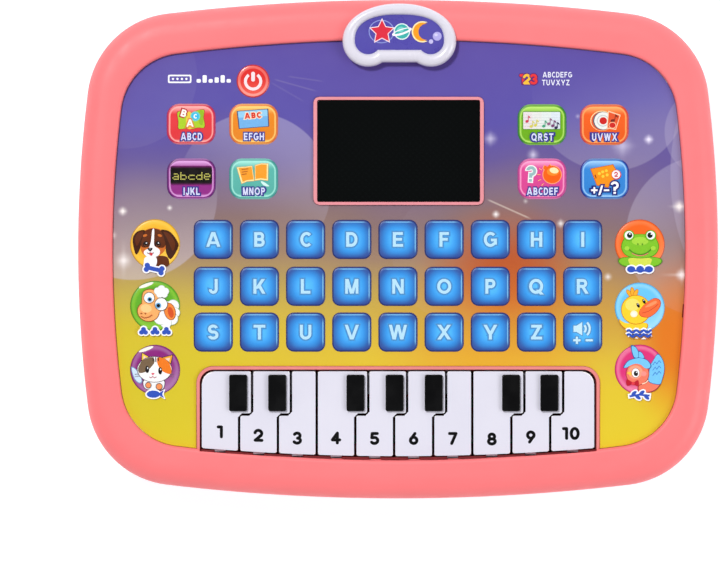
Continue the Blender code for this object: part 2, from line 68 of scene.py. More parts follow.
# Heights: those of the CAD nodes, and those of the parting line, the deck, its lips and the keys' undersides.
RIM_TOP = top_of("front_shell")
PARTING_UP, PARTING_DOWN = bottom_of("front_shell"), 11.45
FILM_LOW, FILM_TOP = bottom_of("overlay_film"), top_of("overlay_film")
KEY_TOP, KEY_LOW = top_of("white_key_1"), 20.0
PAD_LOW, PAD_TOP = bottom_of("black_key_1"), top_of("black_key_1")
GLASS_LOW, GLASS_TOP = bottom_of("screen_window"), top_of("screen_window")
BADGE_LOW, BADGE_TOP = bottom_of("badge_frame"), top_of("badge_frame")
REAR_FACE = bottom_of("rear_shell")
DECK_LOW, DECK_TOP, LIP_TOP = 20.3, 22.3, 24.6
# Cutters that go right through the front run between these heights.
THROUGH = (18.0, 30.0)
WALL = 2.0

# Outlines: half width, half height, side arc radius, end arc radius, corner radius.
CASE = (115.0, 89.6, 457.0, 703.0, 32.4)
TRAY = (102.55, 75.3, 419.0, 634.0, 22.5)
TRAY_MIDDLE = (0.35, -0.3)

# The screen: its middle, the outside of its lip and its opening.
SCREEN_X, SCREEN_Y = 0.22, 35.2
SCREEN_FRAME, SCREEN_OPENING = (61.0, 38.7), (58.4, 36.6)
FRAME_CORNER, OPENING_CORNER = 2.0, 0.7

# Keys printed on the film. They rise from it by EMBOSS.
LETTER_PITCH, LETTER_ROWS = 16.54, (3.5, -13.3, -29.7)
LETTERS = ("ABCDEFGHI", "JKLMNOPQR", "STUVWXYZ ")
LETTER_SIZE, LETTER_CORNER, LETTER_HEIGHT = 14.15, 2.9, 5.2
FUNCTION_SIZE, FUNCTION_CORNER = (17.6, 14.7), 4.6
DISC_R = 9.0
POWER_KEY, POWER_R = (-51.9, 60.2), 6.0
EMBOSS = 0.34

# White keys: the gaps between them from left to right, and the ones that run straight, without a jog.
KEY_GAP_CENTRES = (-56.9, -43.0, -29.1, -15.3, -1.4, 12.6, 26.6, 40.6, 54.5)
STRAIGHT_GAPS = (2, 6)
KEY_JOG, JOG_Y, HALF_GAP = 4.65, -59.2, 0.45
KEYS_LEFT, KEYS_RIGHT, KEYS_TOP = -70.25, 70.25, -43.75
FRONT_ARC_DEPTH, KEY_FRONT_Y, OPENING_FRONT_Y = 2.9, -74.1, -75.3
# Black keys: which white key carries each, and its middle.
BLACK_KEYS = {1: -57.2, 2: -43.2, 4: -15.2, 5: -1.2, 6: 12.8, 8: 40.5, 9: 54.2}
BLACK_SIZE, BLACK_Y = (6.5, 13.1), -51.45
NUMBERS_Y = (-65.35, -66.65, -67.65, -67.55, -67.75, -67.75, -67.75, -67.95, -67.25, -65.95)
# Under each key, to the left and right of its middle: a tongue under the deck, and a tab in front.
TONGUE, TAB_HALF, UNDER_LOW, UNDER_TOP = (-2.5, 6.5), 1.95, 18.4, 20.0

# The badge: two lobes under one arch, with a notch below.
LOBE_X, LOBE_Y, LOBE_R = 11.2, 74.8, 9.15
ARCH_HEIGHT, ARCH_SQUARENESS, NOTCH_Y = 13.45, (2.1, 2.5), 67.2
BADGE_BAND = 4.55
BADGE_MIDDLE = (0.5, -0.4)

# The rear.
SPEAKER, SPEAKER_R, SLOT_PITCH = (68.0, 30.0), 16.5, 4.4
SCREWS = ((-92.0, 62.0), (92.0, 62.0), (-92.0, -60.0), (92.0, -60.0), (0.0, 79.0), (0.0, -82.0))
FEET = ((-76.0, 66.0), (76.0, 66.0), (-76.0, -66.0), (76.0, -66.0))

# The battery door, the ledge round it and the bay behind it: left, right, low and high edges.
DOOR = (-31.5, 31.5, -38.1, 18.6)
DOOR_LEDGE = (-34.0, 34.0, -41.5, 21.0)
BAY, BAY_TOP = (-28.0, 28.0, -36.5, 10.0), 18.2
DOOR_SCREW = (0.0, 14.9)
DOOR_TABS, DOOR_TAB_HALF, DOOR_TAB_BACK = (-18.0, 18.0), 4.0, -34.6
GRIPS = (-30.0, -27.6, -25.2, -22.8, -20.4)


# ---- Outlines, as lists of (x, y) ----------------------------------------------------------------


def arc(centre, radius, start, end, steps):
    """Points from angle start to angle end, in degrees, both included."""
    angles = [math.radians(start + (end - start) * i / steps) for i in range(steps + 1)]
    return [(centre[0] + radius * math.cos(a), centre[1] + radius * math.sin(a)) for a in angles]


def bulged_outline(shape, inset=0.0):
    """A rectangle with shallow arcs for sides, joined by tangent corner arcs."""
    half_w, half_h, side_r, end_r, corner_r = (v - inset for v in shape)
    side, end = Vector((half_w - side_r, 0.0)), Vector((0.0, half_h - end_r))
    near, far = side_r - corner_r, end_r - corner_r
    between = end - side
    along = (between.length_squared + near**2 - far**2) / (2 * between.length)
    across = math.sqrt(near**2 - along**2)
    direction = between.normalized()
    normal = Vector((-direction.y, direction.x))
    corner = max((side + direction * along + normal * s * across for s in (-1, 1)), key=lambda p: p.x + p.y)
    low = math.degrees(math.atan2(corner.y - side.y, corner.x - side.x))
    high = math.degrees(math.atan2(corner.y - end.y, corner.x - end.x))
    quarter = arc(side, side_r, 0.0, low, 10)[:-1]
    quarter += arc(corner, corner_r, low, high, 18)[:-1]
    quarter += arc(end, end_r, high, 90.0, 14)
    half = quarter + [(-x, y) for x, y in reversed(quarter[:-1])]
    return half + [(x, -y) for x, y in reversed(half[1:-1])]


def tray_outline(inset=0.0):
    """The inner wall of the rim, a touch to the right of and below the case's middle."""
    return [(x + TRAY_MIDDLE[0], y + TRAY_MIDDLE[1]) for x, y in bulged_outline(TRAY, inset)]


def fillet(corners, steps=6):
    """A closed outline from (x, y, radius) corners, anticlockwise, each rounded by its radius."""
    points = []
    for index, (x, y, radius) in enumerate(corners):
        here = Vector((x, y))
        if radius <= 0:
            points.append((x, y))
            continue
        before = (Vector(corners[index - 1][:2]) - here).normalized()
        after = (Vector(corners[(index + 1) % len(corners)][:2]) - here).normalized()
        half = before.angle(after) / 2
        centre = here + (before + after).normalized() * radius / math.sin(half)
        start, end = (here + side * radius / math.tan(half) - centre for side in (before, after))
        sweep = start.angle_signed(end)
        for i in range(steps + 1):
            points.append(tuple(centre + Matrix.Rotation(-sweep * i / steps, 2) @ start))
    return points


def rounded_rectangle(x, y, width, height, radius, steps=6):
    left, right, low, high = x - width / 2, x + width / 2, y - height / 2, y + height / 2
    corners = ((left, low), (right, low), (right, high), (left, high))
    return fillet([(*corner, radius) for corner in corners], steps)


def screen_outline(size, corner, grow=0.0):
    return rounded_rectangle(SCREEN_X, SCREEN_Y, size[0] + grow, size[1] + grow, corner)


def door_outline(gap, corner):
    """The battery door with a gap all round."""
    x_low, x_high, y_low, y_high = DOOR
    width, height = x_high - x_low + 2 * gap, y_high - y_low + 2 * gap
    return rounded_rectangle((x_low + x_high) / 2, (y_low + y_high) / 2, width, height, corner)


def ellipse(x, y, rx, ry, turn=0.0, steps=28, start=0.0, end=360.0):
    c, s = math.cos(math.radians(turn)), math.sin(math.radians(turn))
    span = math.radians(end - start)
    closed = end - start >= 360.0
    points = []
    for i in range(steps if closed else steps + 1):
        a = math.radians(start) + span * i / steps
        u, v = rx * math.cos(a), ry * math.sin(a)
        points.append((x + u * c - v * s, y + u * s + v * c))
    return points


def blob(points, steps=5):
    """A smooth closed curve through a few points."""
    curve = []
    count = len(points)
    for i in range(count):
        p0, p1, p2, p3 = (Vector(points[(i + k) % count]) for k in (-1, 0, 1, 2))
        for k in range(steps):
            t = k / steps
            spot = (2 * p1 + (p2 - p0) * t + (2 * p0 - 5 * p1 + 4 * p2 - p3) * t**2
                    + (3 * p1 - p0 - 3 * p2 + p3) * t**3) / 2
            curve.append(tuple(spot))
    return curve


def stroke(points, width):
    """An open line of the given width, as a closed outline with mitred corners and square ends."""
    points = [Vector(point) for point in points]
    left, right = [], []
    for i, point in enumerate(points):
        steps = [(b - a).normalized() for a, b in zip(points[max(i - 1, 0):i + 1], points[max(i, 1):i + 2])]
        steps = [step for step in steps if step.length > 0.5]
        ahead = sum(steps, Vector((0.0, 0.0))).normalized()
        side = Vector((-ahead.y, ahead.x))
        reach = width / 2 / max(0.4, ahead.dot(steps[-1]))
        left.append(tuple(point + side * reach))
        right.append(tuple(point - side * reach))
    return right + left[::-1]


def badge_outline(inset):
    """Two lobes with a notch between them below, under one wide arch that is squarer towards the inside."""
    lobe_r, notch = LOBE_R - inset, NOTCH_Y + inset
    start = -180.0 + math.degrees(math.asin((LOBE_Y - notch) / lobe_r))
    right = arc((LOBE_X, LOBE_Y), lobe_r, start, 0.0, 24)
    wide, tall = LOBE_X + lobe_r, ARCH_HEIGHT - 0.9 * inset
    outer_power, inner_power = ARCH_SQUARENESS
    power = outer_power + (inner_power - outer_power) * inset / BADGE_BAND
    for i in range(1, 33):
        a = math.pi / 2 * i / 32
        right.append((wide * abs(math.cos(a)) ** (2 / power), LOBE_Y + tall * math.sin(a) ** (2 / power)))
    bottom_x = right[0][0]
    notch_line = [(-bottom_x + 2 * bottom_x * i / 8, notch) for i in range(1, 8)]
    outline = notch_line + right + [(-x, y) for x, y in reversed(right[:-1])]
    return [(x + BADGE_MIDDLE[0], y + BADGE_MIDDLE[1]) for x, y in outline]


def front_arc(front_y, x):
    return front_y + FRONT_ARC_DEPTH * (x / KEYS_RIGHT) ** 2


def piano_outline(inset, front_y=OPENING_FRONT_Y):
    """The piano's opening, grown outwards where inset is negative."""
    left, right, top, corner = -71.0 + inset, 71.1 - inset, -43.1 - inset, 4.9 - inset
    front = [left + (right - left) * i / 40 for i in range(41)]
    points = [(x, front_arc(front_y, x) + inset) for x in front]
    points += arc((right - corner, top - corner), corner, 0.0, 90.0, 10)
    points += arc((left + corner, top - corner), corner, 90.0, 180.0, 10)
    return points


def key_edges(number):
    left = KEYS_LEFT if number == 1 else KEY_GAP_CENTRES[number - 2] + HALF_GAP
    right = KEYS_RIGHT if number == 10 else KEY_GAP_CENTRES[number - 1] - HALF_GAP
    return left, right


def key_outline(number):
    """A white key, whose sides step to the right above JOG_Y where a black key needs the room."""
    left, right = key_edges(number)
    left_jog = 0.0 if number == 1 or number - 2 in STRAIGHT_GAPS else KEY_JOG
    right_jog = 0.0 if number == 10 or number - 1 in STRAIGHT_GAPS else KEY_JOG
    front = [left + (right - left) * i / 8 for i in range(9)]
    corners = [(x, front_arc(KEY_FRONT_Y, x), 0.5 if i in (0, 8) else 0.0) for i, x in enumerate(front)]
    if right_jog:
        corners += [(right, JOG_Y + HALF_GAP, 1.4), (right + right_jog, JOG_Y + HALF_GAP, 0.5)]
    corners.append((right + right_jog, KEYS_TOP, 4.5 if number == 10 else 0.5))
    corners.append((left + left_jog, KEYS_TOP, 4.5 if number == 1 else 0.5))
    if left_jog:
        corners += [(left + left_jog, JOG_Y - HALF_GAP, 1.4), (left, JOG_Y - HALF_GAP, 0.5)]
    return fillet(corners, 5)


# ---- Mesh work -----------------------------------------------------------------------------------


def object_from(name, work):
    bmesh.ops.recalc_face_normals(work, faces=work.faces)
    mesh = bpy.data.meshes.new(name)
    work.to_mesh(mesh)
    work.free()
    obj = bpy.data.objects.new(name, mesh)
    bpy.context.scene.collection.objects.link(obj)
    return obj


def ring_at(work, outline, z):
    return [work.verts.new((x * MM, y * MM, z * MM)) for x, y in outline]


def bridge(work, lower, upper):
    count = len(lower)
    for i in range(count):
        j = (i + 1) % count
        work.faces.new((lower[i], lower[j], upper[j], upper[i]))


def loft(name, sections, ring_shaped=False):
    """A solid through (outline, z) sections: capped at both ends, or closed on itself as a ring."""
    work = bmesh.new()
    rings = [ring_at(work, outline, z) for outline, z in sections]
    for lower, upper in zip(rings, rings[1:]):
        bridge(work, lower, upper)
    if ring_shaped:
        bridge(work, rings[-1], rings[0])
    else:
        work.faces.new(rings[0][::-1])
        work.faces.new(rings[-1])
    return object_from(name, work)


def plate(name, outlines, z_low, z_high):
    """A flat solid. Outlines after the first are holes."""
    work = bmesh.new()
    lay_plate(work, outlines, z_low, z_high)
    return object_from(name, work)


def lay_plate(work, outlines, z_low, z_high):
    """Adds a closed flat solid to a mesh in the making and returns its vertices."""
    lower = [ring_at(work, outline, z_low) for outline in outlines]
    upper = [ring_at(work, outline, z_high) for outline in outlines]
    flat = [[Vector((x, y, 0.0)) for x, y in outline] for outline in outlines]
    low_all, high_all = sum(lower, []), sum(upper, [])
    for a, b, c in tessellate_polygon(flat):
        work.faces.new((high_all[a], high_all[b], high_all[c]))
        work.faces.new((low_all[c], low_all[b], low_all[a]))
    for ring_low, ring_high in zip(lower, upper):
        bridge(work, ring_low, ring_high)
    return low_all + high_all


def prism(name, outline, z_low, z_high, rounding=0.0, segments=3, low_rounding=0.0):
    """A flat solid whose upper edge, and lower edge if asked, is rounded."""
    work = bmesh.new()
    lower, upper = ring_at(work, outline, z_low), ring_at(work, outline, z_high)
    bridge(work, lower, upper)
    work.faces.new(lower[::-1])
    work.faces.new(upper)
    for ring, width in ((upper, rounding), (lower, low_rounding)):
        if width:
            members = set(ring)
            edges = [e for e in work.edges if e.verts[0] in members and e.verts[1] in members]
            bmesh.ops.bevel(
                work, geom=edges, offset=width * MM, segments=segments, profile=0.5, affect="EDGES"
            )
    return object_from(name, work)


def box(name, x_low, x_high, y_low, y_high, z_low, z_high, rounding=0.0):
    corners = [(x_low, y_low), (x_high, y_low), (x_high, y_high), (x_low, y_high)]
    return prism(name, corners, z_low, z_high, rounding, 2)


def lathe(name, profile, x, y, steps=40):
    """A solid turned about an upright axis: profile is (radius, z), upwards, without the axis points."""
    return loft(name, [(arc((x, y), r, 0.0, 360.0 * (1 - 1 / steps), steps - 1), z) for r, z in profile])


def apply_modifiers(obj):
    mesh = bpy.data.meshes.new_from_object(obj.evaluated_get(bpy.context.evaluated_depsgraph_get()))
    obj.modifiers.clear()
    old, obj.data = obj.data, mesh
    bpy.data.meshes.remove(old)


def combine(obj, others, operation):
    """Cuts the others from obj, or joins them to it, and removes them."""
    for other in others:
        boolean = obj.modifiers.new(operation, "BOOLEAN")
        boolean.operation = operation
        boolean.object = other
        boolean.solver = "MANIFOLD"
    apply_modifiers(obj)
    for other in others:
        bpy.data.objects.remove(other)
    return obj


def cut(obj, *others):
    return combine(obj, others, "DIFFERENCE")


def join(obj, *others):
    return combine(obj, others, "UNION")


def settle(obj, mat, body=BODY, replaces=(), sharp=38.0, flat_faces=True):
    """Shades a finished piece and hands it to the frame. flat_faces shades its broad faces flat."""
    obj.data.materials.clear()
    obj.data.materials.append(mat)
    obj.data.shade_smooth()
    obj.data.set_sharp_from_angle(angle=math.radians(sharp))
    if flat_faces:
        normals = obj.modifiers.new("normals", "WEIGHTED_NORMAL")
        normals.keep_sharp = True
        apply_modifiers(obj)
    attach(obj, body)
    if replaces:
        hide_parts(*replaces)
    return obj


# ---- Materials -----------------------------------------------------------------------------------


def srgb(*channels):
    """A linear colour from 0 to 255 display values."""
    return tuple((c / 255 / 12.92) if c <= 10 else ((c / 255 + 0.055) / 1.055) ** 2.4 for c in channels)


class Field:
    """A number that varies over a surface, so that a pattern is written as a formula."""

    def __init__(self, tree, socket):
        self.tree, self.socket = tree, socket

    def node(self, operation, *others):
        made = self.tree.nodes.new("ShaderNodeMath")
        made.operation = operation
        for slot, value in zip(made.inputs, (self, *others)):
            if isinstance(value, Field):
                self.tree.links.new(value.socket, slot)
            else:
                slot.default_value = value
        return Field(self.tree, made.outputs[0])

    def __add__(self, other):
        return self.node("ADD", other)

    def __sub__(self, other):
        return self.node("SUBTRACT", other)

    def __mul__(self, other):
        return self.node("MULTIPLY", other)

    def power(self, other):
        return self.node("POWER", other)

    def size(self):
        return self.node("ABSOLUTE")

    def greatest(self, other):
        return self.node("MAXIMUM", other)

    def ease(self, low, high, to_low=0.0, to_high=1.0):
        """Turns low..high into to_low..to_high, smoothly, and holds beyond."""
        made = self.tree.nodes.new("ShaderNodeMapRange")
        made.interpolation_type = "SMOOTHSTEP"
        self.tree.links.new(self.socket, made.inputs[0])
        for slot, value in zip(list(made.inputs)[1:5], (low, high, to_low, to_high)):
            slot.default_value = value
        return Field(self.tree, made.outputs[0])

    def fade(self, low, high):
        """One up to low, easing to nothing at high."""
        return self.ease(low, high, 1.0, 0.0)


class Pattern:
    """A material whose colour, roughness and relief are built up from fields."""

    def __init__(self, name):
        self.material = bpy.data.materials.new(name)
        self.material.use_nodes = True
        self.tree = self.material.node_tree
        self.shader = self.tree.nodes["Principled BSDF"]

    def place(self):
        """X, Y and Z in millimetres."""
        coords = self.tree.nodes.new("ShaderNodeTexCoord")
        return [part * (1 / MM) for part in self.parts(coords.outputs["Object"])]

    def facing(self):
        """The way the surface looks, as a direction in the piece's own axes."""
        return self.tree.nodes.new("ShaderNodeTexCoord").outputs["Normal"]

    def parts(self, socket):
        made = self.tree.nodes.new("ShaderNodeSeparateXYZ")
        self.tree.links.new(socket, made.inputs[0])
        return [Field(self.tree, out) for out in made.outputs]

    def stored(self, name, output="Vector"):
        made = self.tree.nodes.new("ShaderNodeAttribute")
        made.attribute_name = name
        return made.outputs[output]

    def distance(self, x, y, spot):
        dx, dy = x - spot[0], y - spot[1]
        return (dx * dx + dy * dy).power(0.5)

    def noise(self, millimetres, detail=2.0, stretch=(1.0, 1.0, 1.0)):
        """Smooth noise from 0 to 1 with features about that size."""
        coords = self.tree.nodes.new("ShaderNodeTexCoord")
        mapping = self.tree.nodes.new("ShaderNodeMapping")
        mapping.inputs["Scale"].default_value = stretch
        made = self.tree.nodes.new("ShaderNodeTexNoise")
        made.inputs["Scale"].default_value = 1 / (millimetres * MM)
        made.inputs["Detail"].default_value = detail
        self.tree.links.new(coords.outputs["Object"], mapping.inputs["Vector"])
        self.tree.links.new(mapping.outputs["Vector"], made.inputs["Vector"])
        return Field(self.tree, made.outputs[0])

    def wander(self, millimetres, low, high, detail=2.0):
        """Noise that wanders between two values."""
        return self.noise(millimetres, detail).ease(0.3, 0.7, low, high)

    def mix(self, base, over, factor):
        """Lays the colour over on base by a field or number, and returns the colour's socket."""
        made = self.tree.nodes.new("ShaderNodeMix")
        made.data_type = "RGBA"
        made.clamp_factor = True
        for slot, value in ((made.inputs[0], factor), (made.inputs[6], base), (made.inputs[7], over)):
            if isinstance(value, Field):
                self.tree.links.new(value.socket, slot)
            elif isinstance(value, (tuple, list)):
                slot.default_value = (*value[:3], 1.0)
            elif isinstance(value, (int, float)):
                slot.default_value = value
            else:
                self.tree.links.new(value, slot)
        return made.outputs[2]

    def ramp(self, field, stops):
        made = self.tree.nodes.new("ShaderNodeValToRGB")
        elements = made.color_ramp.elements
        while len(elements) < len(stops):
            elements.new(0.5)
        for element, (position, colour) in zip(elements, stops):
            element.position = position
            element.color = (*colour, 1.0)
        self.tree.links.new(field.socket, made.inputs[0])
        return made.outputs[0]

    def finish(self, colour, roughness, relief=None, depth=0.02, **constants):
        """Sets the shader. Colour may be a socket, roughness a field; relief is a field, depth its height."""
        if isinstance(colour, tuple):
            self.shader.inputs["Base Color"].default_value = (*colour, 1.0)
        else:
            self.tree.links.new(colour, self.shader.inputs["Base Color"])
        if isinstance(roughness, Field):
            self.tree.links.new(roughness.socket, self.shader.inputs["Roughness"])
        else:
            self.shader.inputs["Roughness"].default_value = roughness
        if relief is not None:
            bump = self.tree.nodes.new("ShaderNodeBump")
            bump.inputs["Distance"].default_value = depth * MM
            self.tree.links.new(relief.socket, bump.inputs["Height"])
            self.tree.links.new(bump.outputs[0], self.shader.inputs["Normal"])
        for name, value in constants.items():
            self.shader.inputs[name.replace("_", " ")].default_value = value
        return self.material


def moulded(name, colour, roughness, grain=0.35, depth=0.006, variation=0.05, **constants):
    """Injection-moulded plastic: faint flow marks in the colour, uneven gloss and a fine skin."""
    p = Pattern(name)
    flow = p.noise(30.0, 3.0, (1.0, 2.2, 1.0))
    shade = p.mix(colour, tuple(c * (1 - 2 * variation) for c in colour), flow.ease(0.35, 0.75))
    gloss = p.wander(6.0, roughness - 0.05, roughness + 0.05, 3.0)
    return p.finish(shade, gloss, p.noise(grain, 2.0), depth, **constants)


def metal(name, colour, roughness):
    """Steel with fine drawn lines and slight tarnish."""
    p = Pattern(name)
    stain = p.noise(4.0, 4.0)
    shade = p.mix(colour, tuple(c * 0.7 for c in colour), stain.ease(0.4, 0.8))
    lines = p.noise(0.25, 2.0, (1.0, 1.0, 0.1))
    return p.finish(shade, lines.ease(0.3, 0.7, roughness - 0.08, roughness + 0.1), lines, 0.01, Metallic=1.0)


def board_material():
    """Solder-mask green with lighter copper tracks under it."""
    p = Pattern("circuit_board")
    x, y, _ = p.place()
    tracks = (x * 1.6).node("SINE").greatest((y * 1.6).node("SINE")).ease(0.86, 0.95)
    green = p.mix(srgb(14, 92, 48), srgb(40, 140, 70), tracks)
    return p.finish(green, 0.35, tracks, 0.03)


def ink_material():
    """Printing ink: its colour is stored on each shape, with a faint screen-print mottling."""
    p = Pattern("printing_ink")
    mottle = p.wander(0.5, 0.0, 0.06)
    shade = p.mix(p.stored("ink", "Color"), (0.0, 0.0, 0.0), mottle)
    return p.finish(shade, p.wander(3.0, 0.3, 0.4), Specular_IOR_Level=0.22)


# Background art on the film. Glows: centre, half widths, strength, and the colours low and high on the film.
GLOWS = (
    ((-105.0, -45.0), (85.0, 50.0), 0.75, (208, 192, 44), (188, 166, 92)),
    ((46.0, -20.0), (66.0, 25.0), 0.55, (222, 148, 26), (192, 146, 58)),
    ((32.0, -38.0), (44.0, 13.0), 0.35, (238, 140, 34), (238, 140, 34)),
    ((39.0, -9.0), (34.0, 27.0), 0.92, (214, 112, 38), (184, 82, 40)),
    ((99.0, -32.0), (20.0, 34.0), 0.95, (224, 118, 32), (204, 108, 46)),
)
# Bubbles: centre, radius, strength, the way they brighten in degrees.
BUBBLES = (
    ((-51.5, 21.4), 27.4, 0.28, 62), ((-95.0, 19.2), 30.2, 0.36, 270), ((110.4, 4.6), 28.8, 0.22, 150),
    ((76.0, 56.0), 28.0, 0.18, 290), ((112.5, 42.0), 17.0, 0.16, 180), ((-98.0, 62.0), 26.0, 0.04, 300),
    ((177.6, 27.0), 80.0, 0.17, 180), ((22.0, -2.0), 24.0, 0.03, 200),
)
# Glints: place, radius of the glow, strength, half lengths of the level and upright streaks.
GLINTS = (
    ((-98.6, 13.6), 2.4, 0.7, 2.2, 2.2), ((-81.8, 14.8), 1.6, 0.55, 1.2, 1.2),
    ((-102.2, 5.0), 2.2, 0.5, 0.8, 2.4), ((-98.3, -4.1), 4.4, 0.55, 3.0, 9.0),
    ((33.1, 39.6), 3.6, 0.32, 3.5, 4.0), ((48.4, 33.8), 3.2, 0.36, 1.5, 3.6),
    ((89.8, 39.3), 2.5, 0.66, 2.6, 2.6), ((80.4, 37.0), 5.6, 0.28, 7.0, 7.5),
    ((64.4, 47.6), 1.5, 0.2, 1.0, 1.0), ((45.7, 17.2), 1.5, 0.25, 1.0, 1.0),
    ((35.1, 12.5), 2.1, 0.6, 1.8, 1.8), ((58.3, 9.2), 2.2, 0.5, 1.5, 2.6),
    ((75.2, -9.9), 2.2, 0.45, 1.5, 1.5), ((100.8, 15.3), 3.2, 0.75, 5.0, 3.0),
    ((101.7, -9.2), 3.2, 0.75, 9.0, 5.0),
)
# Light streaks: from, to, strength.
STREAKS = (
    ((31.6, 18.0), (48.2, 10.6), 0.32), ((-44.9, 61.0), (-28.4, 56.4), 0.05),
    ((-46.0, 60.0), (-33.0, 52.5), 0.03), ((-40.0, 62.0), (-26.0, 60.0), 0.04),
)
# The sky's colours, from its lower edge to its upper.
SKY_LOW, SKY_HIGH = -76.0, 76.0
SKY = (
    (-70, (226, 202, 46)), (-45, (224, 195, 52)), (-34, (218, 185, 60)), (-20, (192, 164, 80)),
    (-5, (158, 128, 104)), (8, (137, 111, 109)), (18, (127, 105, 128)), (33, (103, 88, 150)),
    (50, (92, 82, 165)), (72, (94, 80, 162)),
)


def film_material():
    """The printed overlay: a purple to yellow sky with an orange glow, bubbles, glints and light streaks."""
    p = Pattern("printed_film")
    x, y, _ = p.place()
    sway = p.wander(60.0, -5.0, 5.0, 1.0)
    reach = SKY_HIGH - SKY_LOW
    height = (y + sway - SKY_LOW) * (1 / reach)
    sky = p.ramp(height, [((level - SKY_LOW) / reach, srgb(*colour)) for level, colour in SKY])
    for (middle_x, middle_y), (reach_x, reach_y), strength, low_colour, high_colour in GLOWS:
        dx, dy = (x - middle_x) * (1 / reach_x), (y - middle_y) * (1 / reach_y)
        glow = (dx * dx + dy * dy).power(0.5).ease(0.15, 1.08, strength, 0.0)
        sky = p.mix(sky, p.mix(srgb(*high_colour), srgb(*low_colour), y.fade(-30, 0)), glow)
    for centre, radius, strength, way in BUBBLES:
        inside = p.distance(x, y, centre).fade(radius - 0.3, radius + 0.3)
        ux, uy = math.cos(math.radians(way)), math.sin(math.radians(way))
        along = (x - centre[0]) * ux + (y - centre[1]) * uy
        sky = p.mix(sky, srgb(208, 200, 222), inside * along.ease(-radius * 0.6, radius, 0.0, strength))
    for (start_x, start_y), (end_x, end_y), strength in STREAKS:
        length = math.hypot(end_x - start_x, end_y - start_y)
        ux, uy = (end_x - start_x) / length, (end_y - start_y) / length
        along = (x - start_x) * ux + (y - start_y) * uy
        across = ((x - start_x) * uy - (y - start_y) * ux).size()
        line = across.fade(0.05, 0.5) * along.ease(0.0, 2.0) * along.fade(length - 3.0, length)
        sky = p.mix(sky, srgb(255, 240, 225), line * strength)
    for spot, size, strength, level_reach, upright_reach in GLINTS:
        dx, dy = (x - spot[0]).size(), (y - spot[1]).size()
        glow = p.distance(x, y, spot).fade(0.0, size).power(1.5)
        upright = dx.ease(0.0, size * 0.3, 0.3, 0.0) * dy.fade(0.0, upright_reach)
        level = dy.ease(0.0, size * 0.3, 0.3, 0.0) * dx.fade(0.0, level_reach)
        colour = srgb(238, 230, 255) if spot[1] > 25 else srgb(250, 242, 240)
        sky = p.mix(sky, colour, (glow + upright + level) * strength)
    return p.finish(sky, p.wander(8.0, 0.22, 0.26))


def letter_key_material():
    """A blue printed key: bright in the middle, with a dark outline and lit top and right edges."""
    p = Pattern("letter_key_print")
    u, v, edge = p.parts(p.stored("place"))
    reach = ((u * u).power(1.3) + (v * v).power(1.3)).power(1 / 2.6)
    body = p.ramp(reach, [
        (0.0, srgb(90, 190, 255)), (0.34, srgb(76, 177, 248)), (0.6, srgb(54, 148, 228)),
        (0.78, srgb(48, 122, 200)), (0.92, srgb(46, 96, 170)), (1.0, srgb(42, 80, 150)),
    ])
    corner = (u.size() * v.size()).ease(0.3, 0.8, 0.0, 0.75)
    body = p.mix(body, srgb(56, 84, 160), corner)
    body = p.mix(body, srgb(46, 66, 144), v.ease(-0.98, -0.66, 0.6, 0.0))
    upper = v.ease(0.55, 0.8) * u.size().fade(0.45, 0.8) * edge.ease(0.62, 0.78) * edge.fade(0.95, 1.15)
    body = p.mix(body, srgb(128, 200, 246), upper * 0.75)
    right = u.ease(0.6, 0.85) * v.size().fade(0.4, 0.75) * edge.ease(0.62, 0.78) * edge.fade(0.95, 1.2)
    body = p.mix(body, srgb(140, 206, 244), right * 0.75)
    body = p.mix(body, srgb(34, 46, 108), edge.fade(0.42, 0.66))
    return p.finish(body, p.wander(4.0, 0.32, 0.4), Specular_IOR_Level=0.35)


def function_key_material(name, body, outline, light):
    """A printed key with a dark outline, a light inner bevel and gloss bands along its top and bottom."""
    p = Pattern(name)
    u, v, edge = p.parts(p.stored("place"))
    body, outline, light = srgb(*body), srgb(*outline), srgb(*light)
    shade = p.mix(body, tuple(c * 0.88 for c in body), v.ease(-0.6, 0.4, 0.5, 0.0))
    inside = edge.ease(0.9, 1.3)
    upper = v.ease(0.45, 0.95, 0.0, 0.85) * inside
    lower = v.ease(-0.92, -0.7, 0.85, 0.0) * inside
    shade = p.mix(shade, light, upper.greatest(lower))
    middle = tuple((c + d) / 2 for c, d in zip(body, outline))
    shade = p.mix(shade, middle, edge.fade(0.65, 0.95))
    bevel = edge.ease(0.75, 0.95) * edge.fade(1.2, 1.55)
    shade = p.mix(shade, light, bevel * 0.6)
    ends = v.size().ease(0.82, 0.97, 0.0, 0.35)
    shade = p.mix(shade, p.mix(outline, light, ends), edge.fade(0.35, 0.65))
    return p.finish(shade, p.wander(4.0, 0.32, 0.4), Specular_IOR_Level=0.35)


def disc_material(name, body, light):
    """A printed round key, lighter towards its lower edge, with a thin darker rim."""
    p = Pattern(name)
    u, v, edge = p.parts(p.stored("place"))
    body, light = srgb(*body), srgb(*light)
    shade = p.mix(body, light, (v * -1.0 + u * 0.4).ease(-0.2, 1.3, 0.0, 0.8))
    shade = p.mix(shade, light, edge.ease(0.5, 0.9) * edge.fade(1.2, 2.4) * 0.45)
    shade = p.mix(shade, tuple(c * 0.62 for c in body), edge.fade(0.2, 0.5))
    return p.finish(shade, p.wander(4.0, 0.3, 0.38), Specular_IOR_Level=0.4)


